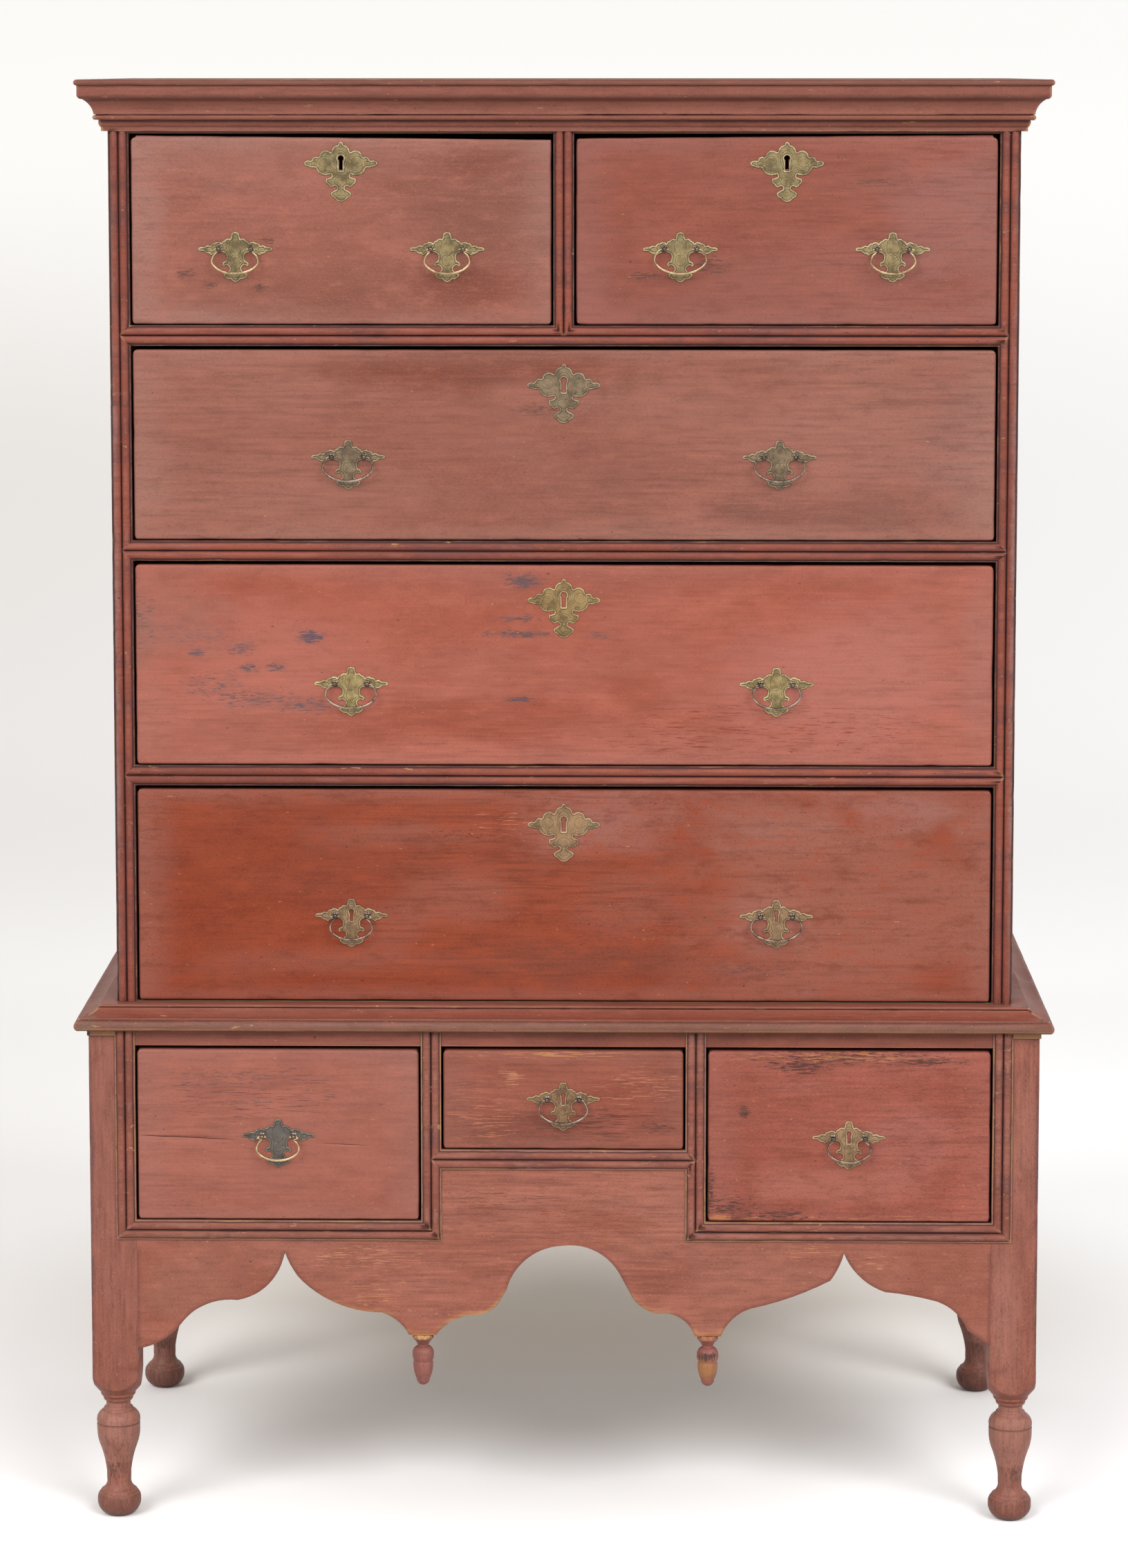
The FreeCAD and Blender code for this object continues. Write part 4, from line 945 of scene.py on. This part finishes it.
aged("waist_moulding",
     paint("paint_waist", (150, 90, 75), (138, 80, 64), (160, 114, 100), chips=0.3, wear=0.8, seed=6.4,
           patches=[(-508, base_top / MM + 14, 14, 30, (142, 120, 102), 0.75)],
           # Bands of the waist by height: a painted shadow along its foot, wear and a painted highlight on the
           # lower edge of the nosing, the nosing's own colour, painted shade in the hollow above it and the red
           # cove.
           bands=courses(base_top, (-0.5, 1.4, (98, 66, 52), 0.8), (1.2, 3.6, (184, 138, 96), 0.7),
                         (3.6, 10.5, (132, 98, 84), 0.75), (10.6, 12.8, (100, 60, 50), 0.8),
                         (13, 20, (145, 75, 57), 0.8))),
     [(0, 9), (1, 12)], 0.18, 0.05, 0.6)

apron_round = (1.1 * MM, lambda m, d: m.z < strip_floor - MM and abs(m.x) < opening_half - MM
               and m.y < base_front + 0.1 * MM)
aged("apron",
     paint("paint_apron", (173, 106, 88), (160, 93, 74), (166, 114, 100), wear=0.9,
           flush=True, seed=7.5, chips=0.05, arris=0.6, lively=1.8,
           patches=[(-400, 260, 60, 50, (166, 110, 93), 0.5), (0, 330, 100, 30, (166, 97, 79), 0.5),
                    (60, 330, 50, 20, (154, 82, 60), 0.8), (0, 300, 300, 50, (158, 90, 72), 0.6),
                    (-90, 340, 50, 14, (150, 84, 66), 0.6), (110, 270, 40, 30, (152, 82, 62), 0.6),
                    (300, 290, 70, 14, (156, 88, 70), 0.6)],
           scratches=[(-220, 290, 75, 14, (206, 146, 108), 0.6), (-200, 250, 40, 25, (204, 140, 100), 0.45),
                      (262, 300, 40, 12, (204, 140, 100), 0.5), (50, 310, 60, 8, (190, 118, 80), 0.9),
                      (330, 285, 40, 14, (206, 146, 108), 0.5), (-60, 350, 60, 30, (110, 66, 52), 0.4),
                      (30, 330, 100, 30, (150, 78, 52), 0.7)],
           scuffs=[(-300, 280, 100, 20, (140, 92, 82), 0.4), (100, 260, 40, 20, (140, 84, 68), 0.5)],
           rubs=[(-95, 235, 55, 35, 0.9), (-151, 215, 20, 20, 0.9), (-230, 230, 60, 30, 0.5),
                 (155, 212, 20, 20, 0.8), (90, 240, 40, 30, 0.4)]),
     [(0, 12), (2, 12)], 0.22, 0.07, 0.25, apron_round)
aged("apron_pendants",
     paint("paint_pendants", (168, 106, 96), (148, 90, 80), (176, 122, 114), grain="z", wear=0.7, seed=8.3,
           patches=[(155, 170, 30, 16, (180, 126, 78), 1.0)],
           scuffs=[(-151, 205, 20, 4, (214, 168, 108), 1.5), (155, 184, 20, 6, (88, 62, 54), 1.5),
                   (155, 205, 20, 5, (200, 132, 84), 1.3)]),
     [], 0.1, 0.02)

POST = dict(body=(160, 99, 83), deep=(150, 89, 73), haze=(166, 114, 101))
LEGS = {
    "front_left_leg": dict(POST, seed=7.5, patches=[(-507, 360, 5, 260, (92, 62, 70), 0.9)]),
    "front_right_leg": dict(POST, seed=7.9, patches=[(507, 360, 5, 260, (92, 62, 70), 0.9),
                                                     (474, 220, 20, 90, (180, 120, 104), 0.7),
                                                     (490, 420, 20, 100, (174, 114, 98), 0.6)]),
    "rear_left_leg": dict(body=(150, 100, 86), deep=(134, 86, 72), haze=(156, 110, 98), seed=9.2),
    "rear_right_leg": dict(body=(138, 88, 76), deep=(118, 72, 62), haze=(146, 100, 90), seed=9.8)}
turning = courses(0.0, (0, 24, (124, 82, 71), 0.75), (24, 60, (158, 106, 92), 0.6),
                  (60, 128, (180, 127, 112), 0.8))
for node, look in LEGS.items():
    at_front = node.startswith("front")
    ease = (0.9 * MM, lambda m, d, at_front=at_front: abs(d.z) > 20 * MM and not (
        at_front and m.y < base_front + MM and abs(abs(m.x) - opening_half) < MM))
    foot_x = copysign(484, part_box(node)[0].x)
    aged(node,
         paint("paint_" + node, grain="z", wear=0.8, chips=0.15, flush=True, lively=2.0, bands=turning,
               scuffs=[(foot_x, 52, 16, 12, (98, 70, 62), 0.8)], **look),
         [(2, 12)], 0.22, 0.06, 0.2, ease)

SIDE = dict(body=(158, 98, 83), deep=(142, 84, 69), haze=(164, 112, 100), haze_amount=0.4)
aged("upper_sides", paint("paint_upper_sides", seed=10.5, grain="z", **SIDE), [(1, 42), (2, 42)], 0.3, 0.16)
aged("lower_side_boards", paint("paint_lower_sides", seed=11.5, wear=0.7, grain="y", **SIDE),
     [(1, 16), (2, 20)], 0.22, 0.1, 0.0, (1.0 * MM, lambda m, d: m.z < 0.245))
dress("lower_top_rail", paint("paint_top_rail", (156, 90, 74), (138, 78, 63), (156, 104, 92), seed=12.5))
dress("upper_drawer_rails", paint("paint_rails", (140, 86, 72), (120, 70, 58), (146, 98, 86), seed=13.5))
dress("lower_partitions", bare_wood("pine_partitions", "y", 4.1, (168, 128, 92), (128, 90, 60)))

board_count = 3
board_gap = 0.5 * MM


def rear_edge(m, d):
    """Edges that run across the back, on its rear face."""
    return abs(d.x) > 0.3 and m.y > 0.2


def back_boards(node, material):
    """The boards of the back, one above the other, with the slits between them."""
    low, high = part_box(node)
    bm = bmesh.new()
    height = (high.z - low.z) / board_count
    for i in range(board_count):
        bottom = low.z + height * i + (board_gap if i else 0.0)
        top = low.z + height * (i + 1)
        size = (high.x - low.x, high.y - low.y, top - bottom, 1.0)
        middle = Vector(((low.x + high.x) / 2, (low.y + high.y) / 2, (bottom + top) / 2))
        bmesh.ops.create_cube(bm, size=1.0, matrix=Matrix.Translation(middle) @ Matrix.Diagonal(size))
    soften(bm, 1.2 * MM, rear_edge)
    slice_up(bm, 0, 60 * MM)
    sway(bm, 0.3 * MM, 0.12)
    piece("aged_" + node, bm, material, node)


back_boards("upper_back_boards",
            bare_wood("pine_upper_back", "x", 1.3, (170, 134, 96), (126, 90, 60), 0.6))
aged("lower_back_board", bare_wood("pine_lower_back", "x", 2.6, (166, 130, 94), (124, 88, 60), 0.6),
     [(0, 60)], 0.35, 0.12, 0.0, (1.3 * MM, rear_edge))
dress("upper_top_board", bare_wood("pine_top", "x", 3.3, (150, 116, 86), (112, 80, 58)))
dress("upper_bottom_board", bare_wood("pine_floor", "x", 3.9))
dress("upper_drawer_runners", bare_wood("pine_upper_runners", "y", 5.1))
dress("lower_drawer_runners", bare_wood("pine_lower_runners", "y", 5.7))
dark_iron = iron("iron_locks")
for name in FRONTS:
    dress(name + "_drawer_box", bare_wood("pine_box_" + name, "y", 6 + len(name) * 0.37))
    if name + "_drawer_lock" in nodes:
        dress(name + "_drawer_lock", dark_iron)
    for node in nodes:
        if node.startswith((name + "_drawer_brasses", name + "_drawer_bail")):
            dress(node, BRASSES[name][0])


# ------------ stage, light and camera
def build_stage():
    """White sweep. The camera sees it paler than it lights the chest, as a studio's white sheet. Painted shade
    makes the wall a little greyer to the left and paler towards the top, and the floor greyer to the left; a
    painted shadow makes the floor darker and warmer under and behind the chest and darker again under its front,
    and painted light makes two spots paler in that shadow, left and right. From its back the sheet is clear, so
    that the chest can also be looked at from behind."""
    s = Shader("studio_white")
    path = s.add("ShaderNodeLightPath").outputs
    seen = s.math("MAXIMUM", path["Is Camera Ray"],
                  s.math("MAXIMUM", path["Is Glossy Ray"], path["Is Transmission Ray"]))

    def across(reach, left, right):
        return s.mix(s.line(s.x, -reach, reach, 0.0, 1.0), (*left, 1), (*right, 1))

    def from_spot(x, y, squeeze=1.0):
        """Distance over the floor from a spot at this y, with the x way squeezed."""
        return s.length(s.mul(x, squeeze), s.minus(s.y, y))

    # Painted shade: the wall greyer to the left and paler towards the top.
    wall = s.mix(s.band(s.z, 0.2, 0.65), across(2.0, (0.69, 0.665, 0.64), (0.83, 0.83, 0.835)),
                 across(2.0, (0.652, 0.622, 0.592), (0.808, 0.808, 0.812)))
    wall = s.mix(s.band(s.z, 0.7, 1.58), wall, across(2.0, (0.94, 0.925, 0.90), (0.93, 0.935, 0.925)))
    # Painted shade: the floor greyer to the left, near the chest and far off.
    ground = across(1.1, (1.27, 1.245, 1.22), (1.5, 1.51, 1.53))
    distant = across(1.5, (1.0, 0.98, 0.955), (1.07, 1.07, 1.08))
    ground = s.mix(s.band(s.y, 1.1, 2.4), ground, distant)
    # Painted shadow: darker and warmer under and behind the chest.
    ground = s.mix(s.band(from_spot(s.x, 0.6, 0.75), 0.7, 0.12), ground, (1.0, 0.93, 0.84, 1))
    # Painted light: two paler spots in that shadow, left and right.
    painted_light_beside = from_spot(s.minus(s.math("ABSOLUTE", s.x), 0.35), 0.39)
    painted_light_beside = s.mul(s.band(painted_light_beside, 0.22, 0.06), s.line(s.x, -0.35, 0.35, 0.45, 0.66))
    ground = s.mix(painted_light_beside, ground, (1.6, 1.55, 1.5, 1))
    # Painted shadow: darker again under the front of the chest.
    ground = s.mix(s.band(from_spot(s.x, -0.04, 0.6), 0.3, 0.04, 0.35), ground, (0.82, 0.80, 0.78, 1))
    sheet = s.mix(s.band(s.y, 2.3, 3.2), ground, wall)
    clear = s.add("ShaderNodeNewGeometry").outputs["Backfacing"]
    for socket, value in (("Base Color", s.mix(seen, (0.5, 0.49, 0.48, 1), sheet)), ("Roughness", 1.0),
                          ("Specular IOR Level", 0.0), ("Alpha", s.minus(1.0, clear))):
        s.feed(s.bsdf.inputs[socket], value)
    radius, steps = 1.6, 24                     # of the bend between floor and wall
    floor_end, half_width, wall_height = 2.4, 30, 9.0
    profile = [(-half_width, 0.0), (floor_end, 0.0)]
    for i in range(1, steps + 1):
        a = pi / 2 * i / steps
        profile.append((floor_end + radius * sin(a), radius * (1 - cos(a))))
    profile.append((floor_end + radius, wall_height))
    bm = bmesh.new()
    left, right = [[bm.verts.new((x, y, z)) for y, z in profile] for x in (-half_width, half_width)]
    for i in range(len(profile) - 1):
        bm.faces.new((left[i], right[i], right[i + 1], left[i + 1])).smooth = True
    show("studio_sweep", mesh_of("studio_sweep", bm, s.material))


def sun(name, azimuth, elevation, spread, strength):
    """Soft lamp far away, azimuth degrees round from straight in front, towards the right."""
    light = bpy.data.lights.new(name, "SUN")
    light.energy = strength
    light.angle = radians(spread)
    a, e = radians(azimuth), radians(elevation)
    towards = Vector((sin(a) * cos(e), -cos(a) * cos(e), sin(e)))
    show(name, light).rotation_euler = towards.to_track_quat("Z", "Y").to_euler()


build_stage()
sun("left_softbox", -34, 38, 30, 1.3)
sun("right_softbox", 34, 37, 30, 1.3)
sun("front_fill", 0, 18, 60, 0.45)

world = bpy.data.worlds.new("studio")
scene.world = world
world.use_nodes = True
sky = world.node_tree.nodes["Background"].inputs
sky["Color"].default_value = (1, 1, 1, 1)
sky["Strength"].default_value = 0.30

camera = bpy.data.cameras.new("camera")         # fitted to the photograph's corners, edges and feet
camera.sensor_width = 36
camera.lens = 99.17
camera.shift_y = -0.1635
camera.clip_end = 50
view = show("camera", camera)
view.location = (0.072, -4.7633, 1.5607)
view.rotation_euler = (radians(90 - 6.091), 0, radians(0.904))
scene.camera = view

scene.view_settings.view_transform = "Standard"

bpy.context.view_layer.update()
